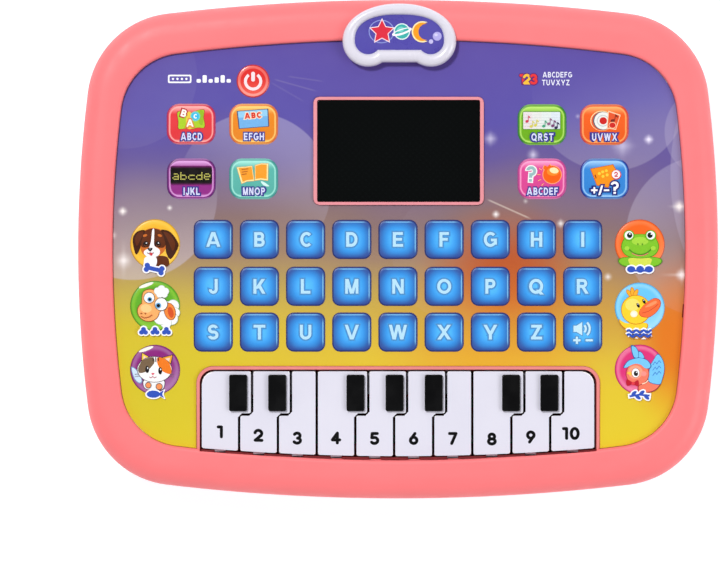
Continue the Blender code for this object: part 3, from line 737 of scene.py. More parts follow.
def power_key_material():
    p = Pattern("power_key_print")
    _, v, edge = p.parts(p.stored("place"))
    shade = p.mix(srgb(222, 44, 40), srgb(240, 92, 78), v.fade(-0.9, 0.3))
    ring = edge.ease(0.5, 0.7) * edge.fade(1.3, 1.6)
    shade = p.mix(shade, srgb(255, 160, 150), ring * v.ease(-1.0, 0.4, 0.95, 0.35))
    shade = p.mix(shade, srgb(176, 40, 60), edge.fade(0.3, 0.5))
    return p.finish(shade, 0.26, p.noise(0.3, 2.0), 0.003, Coat_Weight=0.25, Coat_Roughness=0.15)


def glass_material():
    """The dark pane: near black, with a hint of the display's dot grid far below the gloss."""
    p = Pattern("dark_pane")
    x, y, _ = p.place()
    dots = (x * 2.6).node("SINE") * (y * 2.6).node("SINE")
    shade = p.mix(srgb(9, 11, 11), srgb(11, 14, 14), dots.ease(0.4, 0.9))
    return p.finish(shade, p.wander(20.0, 0.08, 0.12), Specular_IOR_Level=0.3)


def piano_key_material():
    """White plastic with a painted highlight on its rounded edges, and the gap's shade painted on its walls
    below the piano's lip.
    """
    p = Pattern("white_key_plastic")
    _, _, z = p.place()
    _, _, up = p.parts(p.facing())
    shade = p.mix(srgb(223, 221, 234), srgb(219, 217, 231), p.noise(30.0, 3.0).ease(0.35, 0.75))
    # Painted highlight: the sloping faces of the rounded edges turn white.
    shade = p.mix(shade, srgb(255, 255, 255), up.ease(0.05, 0.3) * up.fade(0.93, 0.995))
    # Painted shade: walls below the key's top go dark maroon, standing for the shade deep in the gaps.
    walls = up.size().fade(0.3, 0.6)
    shade = p.mix(shade, srgb(46, 4, 10), walls * z.fade(KEY_TOP - 0.6, KEY_TOP - 0.3))
    return p.finish(shade, p.wander(6.0, 0.28, 0.31, 3.0))


def wire_material(name, colour):
    p = Pattern(name)
    shade = p.mix(colour, tuple(c * 0.75 for c in colour), p.noise(5.0).ease(0.4, 0.7))
    return p.finish(shade, p.wander(2.0, 0.35, 0.5), p.noise(0.4), 0.01)


PINK = moulded("pink_shell", srgb(252, 122, 125), 0.48, variation=0.015, depth=0.004, Specular_IOR_Level=0.4)
# Copies of the shell's pink for the lips: the piano's is darker as painted shade, the screen's is lighter as
# painted light.
LIP_PINK = moulded("piano_lip_shaded_pink", srgb(230, 132, 128), 0.4, variation=0.02)
SCREEN_LIP_PINK = moulded("screen_lip_lit_pink", srgb(230, 144, 153), 0.4, variation=0.02)
WHITE = moulded(
    "white_plastic", srgb(221, 218, 230), 0.28, variation=0.02, Coat_Weight=0.2, Coat_Roughness=0.15
)
KEY_WHITE = piano_key_material()
BLACK = moulded("black_plastic", srgb(13, 13, 14), 0.22, variation=0.1, Specular_IOR_Level=0.3)
RUBBER = moulded("foot_rubber", srgb(48, 46, 48), 0.8, grain=0.5, depth=0.03, variation=0.1)
# Dark red silicone. Its deep red also serves as painted shade where the strip fills the piano's gaps.
SILICONE_AND_GAP_SHADE = moulded("silicone", srgb(124, 3, 14), 0.6)
CLEAR = moulded("clear_film", srgb(205, 210, 205), 0.3)
CELL = moulded("cell_sleeve", srgb(28, 96, 58), 0.3, grain=2.0)
PAPER = moulded("speaker_paper", srgb(28, 28, 30), 0.85, grain=0.4, depth=0.05)
STEEL = metal("steel", srgb(196, 196, 200), 0.32)
BOARD = board_material()
INK = ink_material()
PURPLE = moulded(
    "badge_print", srgb(80, 72, 166), 0.3, variation=0.06, Coat_Weight=0.2, Coat_Roughness=0.12
)


# ---- Case ----------------------------------------------------------------------------------------


def build_front_shell():
    """The rim is one lofted ring. The deck and the badge's seat join it, and then the openings are cut."""
    rounding, inner, steps = 7.0, 1.3, 9
    sections = [(bulged_outline(CASE, 0.3), PARTING_UP), (bulged_outline(CASE), PARTING_UP + 0.3)]
    for i in range(steps + 1):
        a = math.pi / 2 * i / steps
        inset, rise = rounding * (1 - math.cos(a)), rounding * math.sin(a)
        sections.append((bulged_outline(CASE, inset), RIM_TOP - rounding + rise - 0.15 * math.sin(a)))
    sections.append((bulged_outline(CASE, rounding + 1.6), RIM_TOP))
    for i in range(6):
        a = math.pi / 2 * i / 5
        outset, drop = inner * (1 - math.sin(a)), inner * (1 - math.cos(a))
        sections.append((tray_outline(-outset), RIM_TOP - 0.12 - drop))
    sections.append((tray_outline(), DECK_LOW))
    sections.append((bulged_outline(CASE, WALL), DECK_LOW))
    sections.append((bulged_outline(CASE, WALL), PARTING_UP))
    shell = loft("front_shell_moulding", sections, ring_shaped=True)
    deck = plate("deck", [tray_outline(-1.0)], DECK_LOW + 0.05, DECK_TOP)
    seat = plate("badge_seat", [badge_outline(0.8)], DECK_TOP - 0.8, RIM_TOP - 0.1)
    join(shell, deck, seat)
    cut(
        shell,
        prism("screen_cut", screen_outline(SCREEN_OPENING, OPENING_CORNER), DECK_TOP - 0.7, THROUGH[1]),
        box("light_cut", -27, 27, SCREEN_Y - 16, SCREEN_Y + 16, THROUGH[0], DECK_TOP + 1),
        plate("piano_cut", [piano_outline(0.0)], *THROUGH),
    )
    settle(shell, PINK, replaces=("front_shell",))


def build_lips():
    """The raised edges round the screen and the piano, moulded in the shell's plastic: the screen's lip gets
    a lighter copy of its pink as painted light, the piano's lip a darker one as painted shade.
    """
    foot = DECK_TOP - 0.5
    lip = prism("screen_lip", screen_outline(SCREEN_FRAME, FRAME_CORNER), foot, LIP_TOP, 0.42)
    cut(lip, plate("screen_cut", [screen_outline(SCREEN_OPENING, OPENING_CORNER)], *THROUGH))
    settle(lip, SCREEN_LIP_PINK)
    lip = prism("piano_lip", piano_outline(-1.15, -76.6), foot, LIP_TOP, 0.4)
    opening = plate("piano_cut", [piano_outline(0.0)], *THROUGH)
    cut(lip, opening, plate("rim_room", [piano_lip_end()], *THROUGH))
    settle(lip, LIP_PINK)


def piano_lip_end():
    """The strip in front of the opening, where the rim takes the lip's place."""
    front = [-80 + 160 * i / 40 for i in range(41)]
    return [(x, front_arc(OPENING_FRONT_Y, x) + 0.35) for x in front] + [(80, -90), (-80, -90)]


def build_rear_shell():
    """A lofted tray with the battery bay, the door's recess, and room for the screws, feet and sound."""
    rounding, steps = 6.0, 7
    sections = []
    for i in range(steps + 1):
        a = math.pi / 2 * i / steps
        inset, rise = rounding * (1 - math.sin(a)), rounding * (1 - math.cos(a))
        sections.append((bulged_outline(CASE, inset), REAR_FACE + rise))
    sections += [(bulged_outline(CASE), PARTING_DOWN - 0.3), (bulged_outline(CASE, 0.3), PARTING_DOWN)]
    inside, floor = bulged_outline(CASE, WALL), REAR_FACE + WALL
    shell = loft("rear_shell_moulding", sections + [(inside, PARTING_DOWN), (inside, floor)])
    head_room = [(3.4, 0), (3.1, 2.0), (3.1, 4.1), (1.6, 4.15), (1.6, 8.0)]
    head_recesses = [lathe("head_recess", head_room, *place, 28) for place in SCREWS]
    foot_room = [(5.4, 0), (5.4, REAR_FACE + 0.5)]
    foot_recesses = [lathe("foot_recess", foot_room, *place, 32) for place in FEET]
    slots = [plate("grille_slot", [outline], 0, 5) for outline in grille_slots()]
    ledge = box("door_ledge", *DOOR_LEDGE, floor - 0.5, floor + WALL)
    left, right, low, high = BAY
    walls = box("bay_walls", left - WALL, right + WALL, low - WALL, high + WALL, floor - 0.4, BAY_TOP + 1.2)
    join(shell, ledge, walls)
    slot_half = DOOR_TAB_HALF + 1.0
    cut(
        shell,
        box("bay", *BAY, 0, BAY_TOP),
        prism("door_recess", door_outline(0.45, 1.4), 0, floor),
        *[box("tab_slot", x - slot_half, x + slot_half, -43, -35.5, floor, 7) for x in DOOR_TABS],
        lathe("door_screw_hole", [(2.4, 0), (2.4, 9.5)], DOOR_SCREW[0], DOOR_SCREW[1] + 0.4, 24),
        *head_recesses,
        *foot_recesses,
        *slots,
    )
    settle(shell, PINK, replaces=("rear_shell",))


def grille_slots():
    """Level slots that fill the speaker's circle."""
    slots = []
    for row in range(-3, 4):
        up = row * SLOT_PITCH
        width = 2 * math.sqrt(SPEAKER_R**2 - up**2)
        slots.append(rounded_rectangle(SPEAKER[0], SPEAKER[1] + up, width, 2.0, 0.99, 5))
    return slots


def build_feet():
    for number, (x, y) in enumerate(FEET, 1):
        low, high = bottom_of(f"foot_{number}"), top_of(f"foot_{number}")
        profile = [
            (2.6, low + 0.12), (2.9, low), (4.4, low), (4.85, low + 0.2), (5.0, low + 0.6), (5.0, high),
        ]
        foot = lathe(f"rubber_foot_{number}", profile, x, y)
        settle(foot, RUBBER, replaces=(f"foot_{number}",))


def screw_with_cross(name, x, y, head_r, head_low, head_high, shank_r, tip):
    """A pan-head screw, head down, with a cross recess."""
    profile = [
        (head_r * 0.55, head_low), (head_r * 0.85, head_low + 0.12), (head_r, head_low + 0.45),
        (head_r, head_high), (shank_r, head_high), (shank_r, tip - 1.2), (shank_r * 0.7, tip),
    ]
    screw = lathe(name, profile, x, y, 28)
    arm, half = head_r * 0.55, 0.28
    depth = head_low + 0.7 * (head_high - head_low)
    cut(
        screw,
        box("cross_a", x - arm, x + arm, y - half, y + half, head_low - 1, depth),
        box("cross_b", x - half, x + half, y - arm, y + arm, head_low - 1, depth),
    )
    return screw


def build_screws():
    for number, place in enumerate(SCREWS, 1):
        node = f"case_screw_{number}"
        low, tip = bottom_of(node), top_of(node)
        screw = screw_with_cross(f"case_screw_head_{number}", *place, 2.7, low, low + 1.4, 1.3, tip)
        settle(screw, STEEL, replaces=(node,))
    low, tip = bottom_of("battery_door_screw"), top_of("battery_door_screw")
    screw = screw_with_cross("door_screw", *DOOR_SCREW, 2.5, low, low + 0.6, 1.1, tip)
    settle(screw, STEEL, body="door_screw", replaces=("battery_door_screw",))


def build_battery_door():
    """A plate with two tabs at its lower edge, grip lines, an arrow and a recess for its screw."""
    inner = 2.9
    door = prism("battery_door_cover", door_outline(0.0, 1.2), REAR_FACE, inner, low_rounding=0.35)
    for x in DOOR_TABS:
        left, right = x - DOOR_TAB_HALF, x + DOOR_TAB_HALF
        neck = box("neck", left, right, -37.6, DOOR_TAB_BACK, inner - 0.6, 4.0)
        tab = box("tab", left, right, -41, DOOR_TAB_BACK, 3.5, 4.6)
        join(door, neck, tab)
    grips = [box("grip", -9, 9, y - 0.5, y + 0.5, 0.0, REAR_FACE + 0.5) for y in GRIPS]
    chevron = [(-4, -15.0), (0, -11.0), (4, -15.0), (4, -16.5), (0, -12.5), (-4, -16.5)]
    arrow = plate("arrow", [chevron], 0.0, REAR_FACE + 0.4)
    hole = lathe("hole", [(2.9, 0), (2.9, 2.2), (1.5, 2.25), (1.5, 4)], *DOOR_SCREW, 28)
    cut(door, *grips, arrow, hole)
    settle(door, PINK, body="battery_door", replaces=("battery_door",))


# ---- Badge and screen ----------------------------------------------------------------------------


def build_badge():
    """A tube that follows the badge's outline, and the label's plate inside it."""
    steps = 14
    half = BADGE_BAND / 2
    rise = BADGE_TOP - BADGE_LOW
    sections = []
    for i in range(steps + 1):
        a = math.pi * i / steps
        inset = half * (1 - math.cos(a))
        sections.append((badge_outline(inset), BADGE_LOW + rise * math.sin(a) ** 0.75))
    tube = loft("badge_tube", sections, ring_shaped=True)
    settle(tube, WHITE, replaces=("badge_frame",), sharp=60)
    label = prism("badge_plate", badge_outline(BADGE_BAND - 0.25), BADGE_LOW, top_of("badge_label"), 0.15, 2)
    settle(label, PURPLE, replaces=("badge_label",))


def build_screen():
    pane = prism("screen_pane", screen_outline(SCREEN_OPENING, 0.5, -0.5), GLASS_LOW, GLASS_TOP, 0.25, 2)
    settle(pane, glass_material(), replaces=("screen_window",))


# ---- Printed film and its embossed keys ----------------------------------------------------------


def build_film():
    window = screen_outline(SCREEN_FRAME, FRAME_CORNER + 0.1, 0.2)
    film = plate("overlay_print", [tray_outline(0.16), window[::-1]], FILM_LOW, FILM_TOP)
    piano_room = plate("piano_room", [piano_outline(-1.27, -95.0)], *THROUGH)
    cut(film, piano_room, plate("badge_room", [badge_outline(0.4)], *THROUGH))
    settle(film, film_material(), replaces=("overlay_film",))


# How a raised key rises from its edge: distance in from the edge, height above the film.
PILLOW = (
    (0.0, -0.05), (0.1, 0.1), (0.3, 0.22), (0.55, 0.3),
    *((inset, EMBOSS) for inset in (0.9, 1.4, 2.2, 3.6, 5.4)),
)


def emboss(work, centre, half_size, outline_at):
    """One raised key. It stores the place on it, -1 to 1 across and up, and the distance from its edge."""
    store = work.verts.layers.float_vector.get("place") or work.verts.layers.float_vector.new("place")
    rings = []
    for inset, rise in PILLOW:
        if inset >= min(half_size) - 0.3:
            break
        ring = ring_at(work, outline_at(inset), FILM_TOP + rise)
        for vert in ring:
            local = (vert.co.x / MM - centre[0], vert.co.y / MM - centre[1])
            vert[store] = (local[0] / half_size[0], local[1] / half_size[1], inset)
        rings.append(ring)
    for lower, upper in zip(rings, rings[1:]):
        bridge(work, lower, upper)
    middle = work.verts.new((centre[0] * MM, centre[1] * MM, (FILM_TOP + EMBOSS) * MM))
    middle[store] = (0.0, 0.0, min(half_size))
    last = rings[-1]
    for i, vert in enumerate(last):
        work.faces.new((vert, last[(i + 1) % len(last)], middle))
    work.faces.new(rings[0][::-1])


def emboss_rectangle(work, x, y, width, height, radius):
    def outline_at(inset):
        corner = max(radius - inset, 0.5)
        return rounded_rectangle(x, y, width - 2 * inset, height - 2 * inset, corner)

    emboss(work, (x, y), (width / 2, height / 2), outline_at)


def emboss_disc(work, x, y, radius):
    def outline_at(inset):
        return ellipse(x, y, radius - inset, radius - inset, steps=56)

    emboss(work, (x, y), (radius, radius), outline_at)


# Capitals, as parts of a letter one unit high and centred on x = 0. A bar is a rectangle, corner to corner. A
# slab is a slanting stroke between two level ends. A bow is part of an oval ring: centre, radii, angles.
PEN = 0.195
GLYPHS = {
    "A": (("slab", -0.38, 0, -0.02, 1), ("slab", 0.38, 0, 0.02, 1), ("bar", -0.24, 0.19, 0.24, 0.36)),
    "B": (("bar", -0.35, 0, -0.15, 1), ("bow", 0.05, 0.705, 0.27, 0.295, -90, 90),
          ("bar", -0.2, 0.805, 0.06, 1), ("bow", 0.06, 0.295, 0.3, 0.295, -90, 90),
          ("bar", -0.2, 0, 0.07, 0.195), ("bar", -0.2, 0.4, 0.07, 0.6)),
    "C": (("bow", 0.03, 0.5, 0.43, 0.51, 46, 314),),
    "D": (("bar", -0.38, 0, -0.18, 1), ("bow", -0.03, 0.5, 0.42, 0.5, -90, 90),
          ("bar", -0.2, 0.805, -0.02, 1), ("bar", -0.2, 0, -0.02, 0.195)),
    "E": (("bar", -0.34, 0, -0.14, 1), ("bar", -0.2, 0.815, 0.34, 1), ("bar", -0.2, 0.42, 0.28, 0.6),
          ("bar", -0.2, 0, 0.36, 0.185)),
    "F": (("bar", -0.31, 0, -0.11, 1), ("bar", -0.2, 0.815, 0.33, 1), ("bar", -0.2, 0.42, 0.25, 0.6)),
    "G": (("bow", 0.0, 0.5, 0.45, 0.51, 46, 322), ("bar", 0.04, 0.37, 0.44, 0.55),
          ("bar", 0.25, 0.15, 0.44, 0.5)),
    "H": (("bar", -0.39, 0, -0.19, 1), ("bar", 0.19, 0, 0.39, 1), ("bar", -0.25, 0.42, 0.25, 0.6)),
    "I": (("bar", -0.1, 0, 0.1, 1),),
    "J": (("bar", 0.08, 0.29, 0.28, 1), ("bow", -0.02, 0.3, 0.3, 0.31, 182, 360)),
    "K": (("bar", -0.39, 0, -0.19, 1), ("slab", -0.17, 0.34, 0.28, 1), ("slab", 0.32, 0, -0.02, 0.6)),
    "L": (("bar", -0.31, 0, -0.11, 1), ("bar", -0.2, 0, 0.34, 0.185)),
    "M": (("bar", -0.45, 0, -0.27, 1), ("bar", 0.27, 0, 0.45, 1), ("slab", -0.32, 1, -0.02, 0),
          ("slab", 0.32, 1, 0.02, 0)),
    "N": (("bar", -0.39, 0, -0.2, 1), ("bar", 0.2, 0, 0.39, 1), ("slab", -0.28, 1, 0.28, 0)),
    "O": (("bow", 0, 0.5, 0.48, 0.51, 0, 360),),
    "P": (("bar", -0.34, 0, -0.14, 1), ("bow", 0.05, 0.69, 0.29, 0.31, -90, 90),
          ("bar", -0.2, 0.805, 0.06, 1), ("bar", -0.2, 0.38, 0.06, 0.575)),
    "Q": (("bow", 0, 0.5, 0.48, 0.51, 0, 360), ("slab", 0.4, -0.06, 0.12, 0.26)),
    "R": (("bar", -0.37, 0, -0.17, 1), ("bow", 0.05, 0.7, 0.29, 0.3, -90, 90), ("bar", -0.2, 0.805, 0.06, 1),
          ("bar", -0.2, 0.4, 0.06, 0.595), ("slab", 0.32, 0, 0.05, 0.45)),
    "S": (("bow", 0, 0.71, 0.35, 0.305, 22, 270), ("bow", 0, 0.3, 0.37, 0.31, -160, 90)),
    "T": (("bar", -0.1, 0, 0.1, 1), ("bar", -0.4, 0.815, 0.4, 1)),
    "U": (("bar", -0.39, 0.37, -0.195, 1), ("bar", 0.195, 0.37, 0.39, 1),
          ("bow", 0, 0.38, 0.39, 0.39, 180, 360)),
    "V": (("slab", -0.02, 0, -0.38, 1), ("slab", 0.02, 0, 0.38, 1)),
    "W": (("slab", -0.27, 0, -0.52, 1), ("slab", -0.25, 0, -0.02, 1), ("slab", 0.25, 0, 0.02, 1),
          ("slab", 0.27, 0, 0.52, 1)),
    "X": (("slab", -0.35, 0, 0.34, 1), ("slab", 0.35, 0, -0.34, 1)),
    "Y": (("bar", -0.1, 0, 0.1, 0.46), ("slab", -0.01, 0.36, -0.36, 1), ("slab", 0.01, 0.36, 0.36, 1)),
    "Z": (("bar", -0.37, 0, 0.38, 0.185), ("bar", -0.36, 0.815, 0.36, 1), ("slab", -0.24, 0.1, 0.23, 0.9)),
    "+": (("bar", -0.36, 0.42, 0.36, 0.6), ("bar", -0.09, 0.15, 0.09, 0.87)),
    "-": (("bar", -0.3, 0.42, 0.3, 0.6),),
    "/": (("slab", -0.17, -0.05, 0.17, 1.05),),
    "?": (("bow", 0, 0.7, 0.33, 0.32, -84, 168), ("bar", -0.1, 0.26, 0.1, 0.56), ("bar", -0.1, 0, 0.1, 0.17)),
}

# Round-ended numerals in the same unit, as lines of points and arcs: centre, radii, from and to angle.
DIGITS = {
    "1": ([(-0.16, 0.87), (0.08, 0.87), (0.08, 0.11)],),
    "2": ([("arc", 0, 0.64, 0.26, 0.25, 165, -35), (-0.24, 0.12), (0.28, 0.11)],),
    "3": ([("arc", -0.01, 0.69, 0.23, 0.2, 150, -80)], [("arc", -0.01, 0.31, 0.26, 0.2, 80, -150)]),
    "4": ([(0.12, 0.11), (0.12, 0.87), (-0.27, 0.34), (0.3, 0.34)],),
    "5": ([(0.22, 0.88), (-0.17, 0.88), (-0.2, 0.55), ("arc", 0, 0.34, 0.26, 0.23, 110, -145)],),
    "6": ([(0.1, 0.88), (-0.2, 0.46)], [("arc", 0, 0.35, 0.25, 0.24, 0, 360)]),
    "7": ([(-0.25, 0.88), (0.25, 0.88), (-0.08, 0.11)],),
    "8": ([("arc", 0, 0.69, 0.21, 0.19, 0, 360)], [("arc", 0, 0.31, 0.26, 0.2, 0, 360)]),
    "9": ([(-0.1, 0.11), (0.2, 0.53)], [("arc", 0, 0.65, 0.25, 0.24, 0, 360)]),
    "0": ([("arc", 0, 0.495, 0.27, 0.385, 0, 360)],),
}
DIGIT_PEN = 0.22


def glyph_outlines(letter, grow):
    """The parts of a capital, each a list of outlines, swollen by grow."""
    parts = []
    for kind, *v in GLYPHS[letter]:
        if kind == "bar":
            x_low, y_low, x_high, y_high = v[0] - grow, v[1] - grow, v[2] + grow, v[3] + grow
            parts.append([[(x_low, y_low), (x_high, y_low), (x_high, y_high), (x_low, y_high)]])
        elif kind == "slab":
            (x_low, y_low), (x_high, y_high) = sorted([(v[0], v[1]), (v[2], v[3])], key=lambda end: end[1])
            lean = (x_high - x_low) / (y_high - y_low)
            half = (PEN / 2 + grow) * math.hypot(1, lean)
            low, high = x_low - lean * grow, x_high + lean * grow
            y_low, y_high = y_low - grow, y_high + grow
            foot = [(low - half, y_low), (low + half, y_low)]
            parts.append([[*foot, (high + half, y_high), (high - half, y_high)]])
        else:
            x, y, rx, ry, start, end = v
            inner = PEN + grow
            if end - start == 360:
                hole = ellipse(x, y, rx - inner, ry - inner)
                parts.append([ellipse(x, y, rx + grow, ry + grow), hole[::-1]])
                continue
            more = math.degrees(grow / ry)
            outside = ellipse(x, y, rx + grow, ry + grow, 0, 20, start - more, end + more)
            inside = ellipse(x, y, rx - inner, ry - inner, 0, 20, start - more, end + more)
            parts.append([outside + inside[::-1]])
    return parts


def digit_outlines(digit, grow):
    """The parts of a numeral: its line, broken at sharp corners, with a disc on each end and corner."""
    pen = DIGIT_PEN + 2 * grow
    parts = []
    for path in DIGITS[digit]:
        points = []
        for step in path:
            if step[0] == "arc":
                _, x, y, rx, ry, start, end = step
                angles = [math.radians(start + (end - start) * i / 20) for i in range(21)]
                points += [(x + rx * math.cos(a), y + ry * math.sin(a)) for a in angles]
            else:
                points.append(step)
        corners = [0]
        for i in range(1, len(points) - 1):
            before = Vector(points[i]) - Vector(points[i - 1])
            after = Vector(points[i + 1]) - Vector(points[i])
            if before.angle(after) > math.radians(25):
                corners.append(i)
        corners.append(len(points) - 1)
        parts += [[stroke(points[start:end + 1], pen)] for start, end in zip(corners, corners[1:])]
        parts += [[ellipse(*points[i], pen / 2, pen / 2, steps=16)] for i in corners]
    return parts


class Print:
    """A printed legend in one piece: thin closed plates of ink, each laid a hair above the last."""

    STEP, HAIR = 0.012, 0.0015

    def __init__(self, name, x, y, floor, turn=0.0):
        self.name, self.floor, self.level = name, floor - 0.03, floor + 0.02
        self.move = Matrix.Translation((x * MM, y * MM, 0)) @ Matrix.Rotation(math.radians(turn), 4, "Z")
        self.work = bmesh.new()
        self.ink = self.work.verts.layers.float_color.new("ink")

    def colour(self, verts, ink):
        for vert in verts:
            vert[self.ink] = (*srgb(*ink), 1.0)
            vert.co = self.move @ vert.co

    def shape(self, ink, outline, *holes, rise=STEP):
        self.colour(lay_plate(self.work, [outline, *holes], self.floor, self.level), ink)
        self.level += rise

    def line(self, ink, points, width):
        self.shape(ink, stroke(points, width))

    def oval(self, ink, x, y, rx, ry=None, turn=0.0, steps=28):
        """An ellipse, or a disc where one radius is given."""
        self.shape(ink, ellipse(x, y, rx, ry or rx, turn, steps))

    def soft(self, ink, points, scale=1.0, steps=5):
        """A smooth shape through a few points, grown about their middle by scale."""
        self.shape(ink, blob(scaled(points, scale), steps))

    def rimmed(self, edge, ink, points, scale, steps=5):
        """A soft shape over a larger one in another ink."""
        self.soft(edge, points, scale, steps)
        self.soft(ink, points, 1.0, steps)

    def letters(self, ink, body, x, y, height, grow=0.0, turn=0.0, gap=0.14, squeeze=1.0):
        """Bold capitals or numerals of the given height, centred at (x, y), narrowed by squeeze."""
        swell = grow / height
        drawn = [(digit_outlines if sign in DIGITS else glyph_outlines)(sign, swell) for sign in body]
        edges = []
        for parts in drawn:
            across = [point[0] for outlines in parts for point in outlines[0]]
            edges.append((min(across) + swell, max(across) - swell))
        total = sum(high - low for low, high in edges) + gap * (len(body) - 1)
        pen_x = -total / 2
        c, s = math.cos(math.radians(turn)), math.sin(math.radians(turn))
        for parts, (low, high) in zip(drawn, edges):
            for outlines in parts:
                placed = []
                for outline in outlines:
                    level = [
                        ((px - low + pen_x) * height * squeeze, (py - 0.5) * height) for px, py in outline
                    ]
                    placed.append([(x + u * c - v * s, y + u * s + v * c) for u, v in level])
                self.shape(ink, *placed, rise=self.HAIR)
            pen_x += high - low + gap
        self.level += self.STEP

    def outlined(self, ink, edge, body, x, y, height, border=0.35, grow=0.0, turn=0.0, gap=0.2, squeeze=1.0):
        """Letters in one ink with a border in another."""
        self.letters(edge, body, x, y, height, grow + border, turn, gap, squeeze)
        self.letters(ink, body, x, y, height, grow, turn, gap, squeeze)

    def done(self, body=BODY):
        return settle(object_from(self.name, self.work), INK, body=body, sharp=30, flat_faces=False)


WHITE_INK, NAVY, DARK, NUMBER_INK = (250, 250, 255), (34, 40, 120), (24, 20, 22), (4, 4, 6)
KEY_FLOOR = FILM_TOP + EMBOSS
# A letter's soft glow, its darker edge and the letter itself: ink, and how far each is grown.
LETTER_LAYERS = (((72, 158, 226), 0.66), ((80, 140, 196), 0.38), ((182, 224, 248), 0.02))
LAYER_RISE = 0.03


def build_letter_keys():
    work = bmesh.new()
    places = [(letter, (column - 4) * LETTER_PITCH, y)
              for row, y in zip(LETTERS, LETTER_ROWS) for column, letter in enumerate(row)]
    for _, x, y in places:
        emboss_rectangle(work, x, y, LETTER_SIZE, LETTER_SIZE, LETTER_CORNER)
    settle(object_from("letter_keys", work), letter_key_material(), flat_faces=False)
    legends = Print("letter_legends", 0, 0, KEY_FLOOR)
    ground = legends.level
    for layer, (ink, grow) in enumerate(LETTER_LAYERS):
        for letter, x, y in places:
            legends.level = ground + LAYER_RISE * layer
            if letter != " ":
                legends.letters(ink, letter, x, y, LETTER_HEIGHT, grow)
    legends.done()
    build_volume_legend(4 * LETTER_PITCH, LETTER_ROWS[2])


def build_volume_legend(x, y):
    """A speaker with two sound arcs, over a plus and a minus."""
    art = Print("volume_legend", x, y, KEY_FLOOR)
    pale, halo = (196, 230, 250), (84, 146, 196)
    speaker = [(-3.3, 0.1), (-2.2, 0.1), (-0.2, -1.2), (-0.2, 3.6), (-2.2, 2.3), (-3.3, 2.3)]
    for ink, extra in ((halo, 0.32), (pale, 0.0)):
        art.shape(ink, [
            (px + math.copysign(extra, px + 1.7), py + math.copysign(extra, py - 1.2)) for px, py in speaker
        ])
        for reach in (1.7, 3.1):
            art.line(ink, arc((-0.6, 1.2), reach, -46, 46, 10), 0.75 + 2 * extra)
        for px in (-2.1, 2.3):
            art.shape(ink, rounded_rectangle(px, -2.9, 2.6 + 2 * extra, 0.75 + 2 * extra, 0.1, 1))
        art.shape(ink, rounded_rectangle(-2.1, -2.9, 0.75 + 2 * extra, 2.6 + 2 * extra, 0.1, 1))
    art.done()


def note(art, ink, x, y, size=1.0, turn=0.0):
    """A quaver: head, stem and flag."""
    c, s = math.cos(math.radians(turn)), math.sin(math.radians(turn))

    def at(points):
        return [(x + size * (px * c - py * s), y + size * (px * s + py * c)) for px, py in points]

    art.shape(ink, at(ellipse(0, 0, 0.62, 0.46, 20, 14)))
    art.shape(ink, at([(0.38, 0.1), (0.58, 0.1), (0.58, 2.0), (0.38, 2.0)]))
    art.shape(ink, at([(0.5, 2.0), (0.5, 1.5), (1.15, 1.1), (1.25, 1.3), (1.0, 1.7)][::-1]))


def caption(art, body):
    """The outlined line of letters along a key's lower edge."""
    art.outlined((216, 220, 248), (56, 54, 142), body, 0.1, -4.45, 2.6, 0.42, 0.03, gap=0.24, squeeze=0.74)


def scaled(points, factor):
    """The outline shrunk or grown about its middle."""
    middle = sum((Vector(point) for point in points), Vector((0.0, 0.0))) / len(points)
    return [tuple(middle + (Vector(point) - middle) * factor) for point in points]


def draw_alphabet(art):
    card = [(-4.9, 4.0), (-3.6, 4.6), (-1.6, 4.2), (0.4, 4.0), (2.4, 4.9), (4.6, 5.0), (4.4, 2.4),
            (4.8, 0.2), (4.5, -1.3), (2.4, -1.2), (0.4, -1.7), (-1.4, -1.4), (-4.4, -1.7), (-4.5, 0.8)]
    art.rimmed((170, 50, 40), (172, 208, 44), card, 1.05, 3)
    art.soft((236, 206, 70), [(-1.6, 4.0), (0.2, 3.8), (0.6, -1.2), (-1.6, -1.2)], steps=4)
    art.soft((150, 190, 40), [(2.6, 4.4), (4.3, 4.6), (4.2, 0.0), (2.9, 0.4)], steps=4)
    art.oval((110, 206, 206), 1.5, 2.8, 1.75)
    art.oval((60, 190, 232), 1.5, 2.8, 1.3)
    art.letters((250, 252, 255), "C", 1.5, 2.8, 1.5, 0.05)
    art.outlined((255, 250, 240), (186, 44, 48), "B", -2.6, 3.9, 2.5, 0.42, 0.06, -16)
    art.outlined((255, 250, 232), (222, 132, 60), "A", -0.4, 0.4, 2.5, 0.38, 0.06)
    caption(art, "ABCD")


def draw_word(art):
    card = [(-5.0, -1.5), (5.2, -0.7), (4.9, 5.3), (-5.7, 4.5)]
    art.shape((70, 78, 110), scaled(card, 1.07))
    art.shape((116, 178, 232), card)
    art.shape((150, 206, 240), [(-5.4, 2.2), (5.05, 2.9), (4.9, 5.3), (-5.7, 4.5)])
    art.outlined((218, 56, 40), (250, 226, 200), "ABC", -0.3, 3.1, 1.9, 0.3, 0.1, 4, 0.3)
    caption(art, "EFGH")


# Lower-case letters on a five by seven grid of dots.
DOT_LETTERS = (
    (".....", ".###.", "....#", ".####", "#...#", ".####", "....."),
    ("#....", "#....", "####.", "#...#", "#...#", "####.", "....."),
    (".....", ".....", ".####", "#....", "#....", ".####", "....."),
    ("....#", "....#", ".####", "#...#", "#...#", ".####", "....."),
    (".....", ".###.", "#...#", "#####", "#....", ".###.", "....."),
)


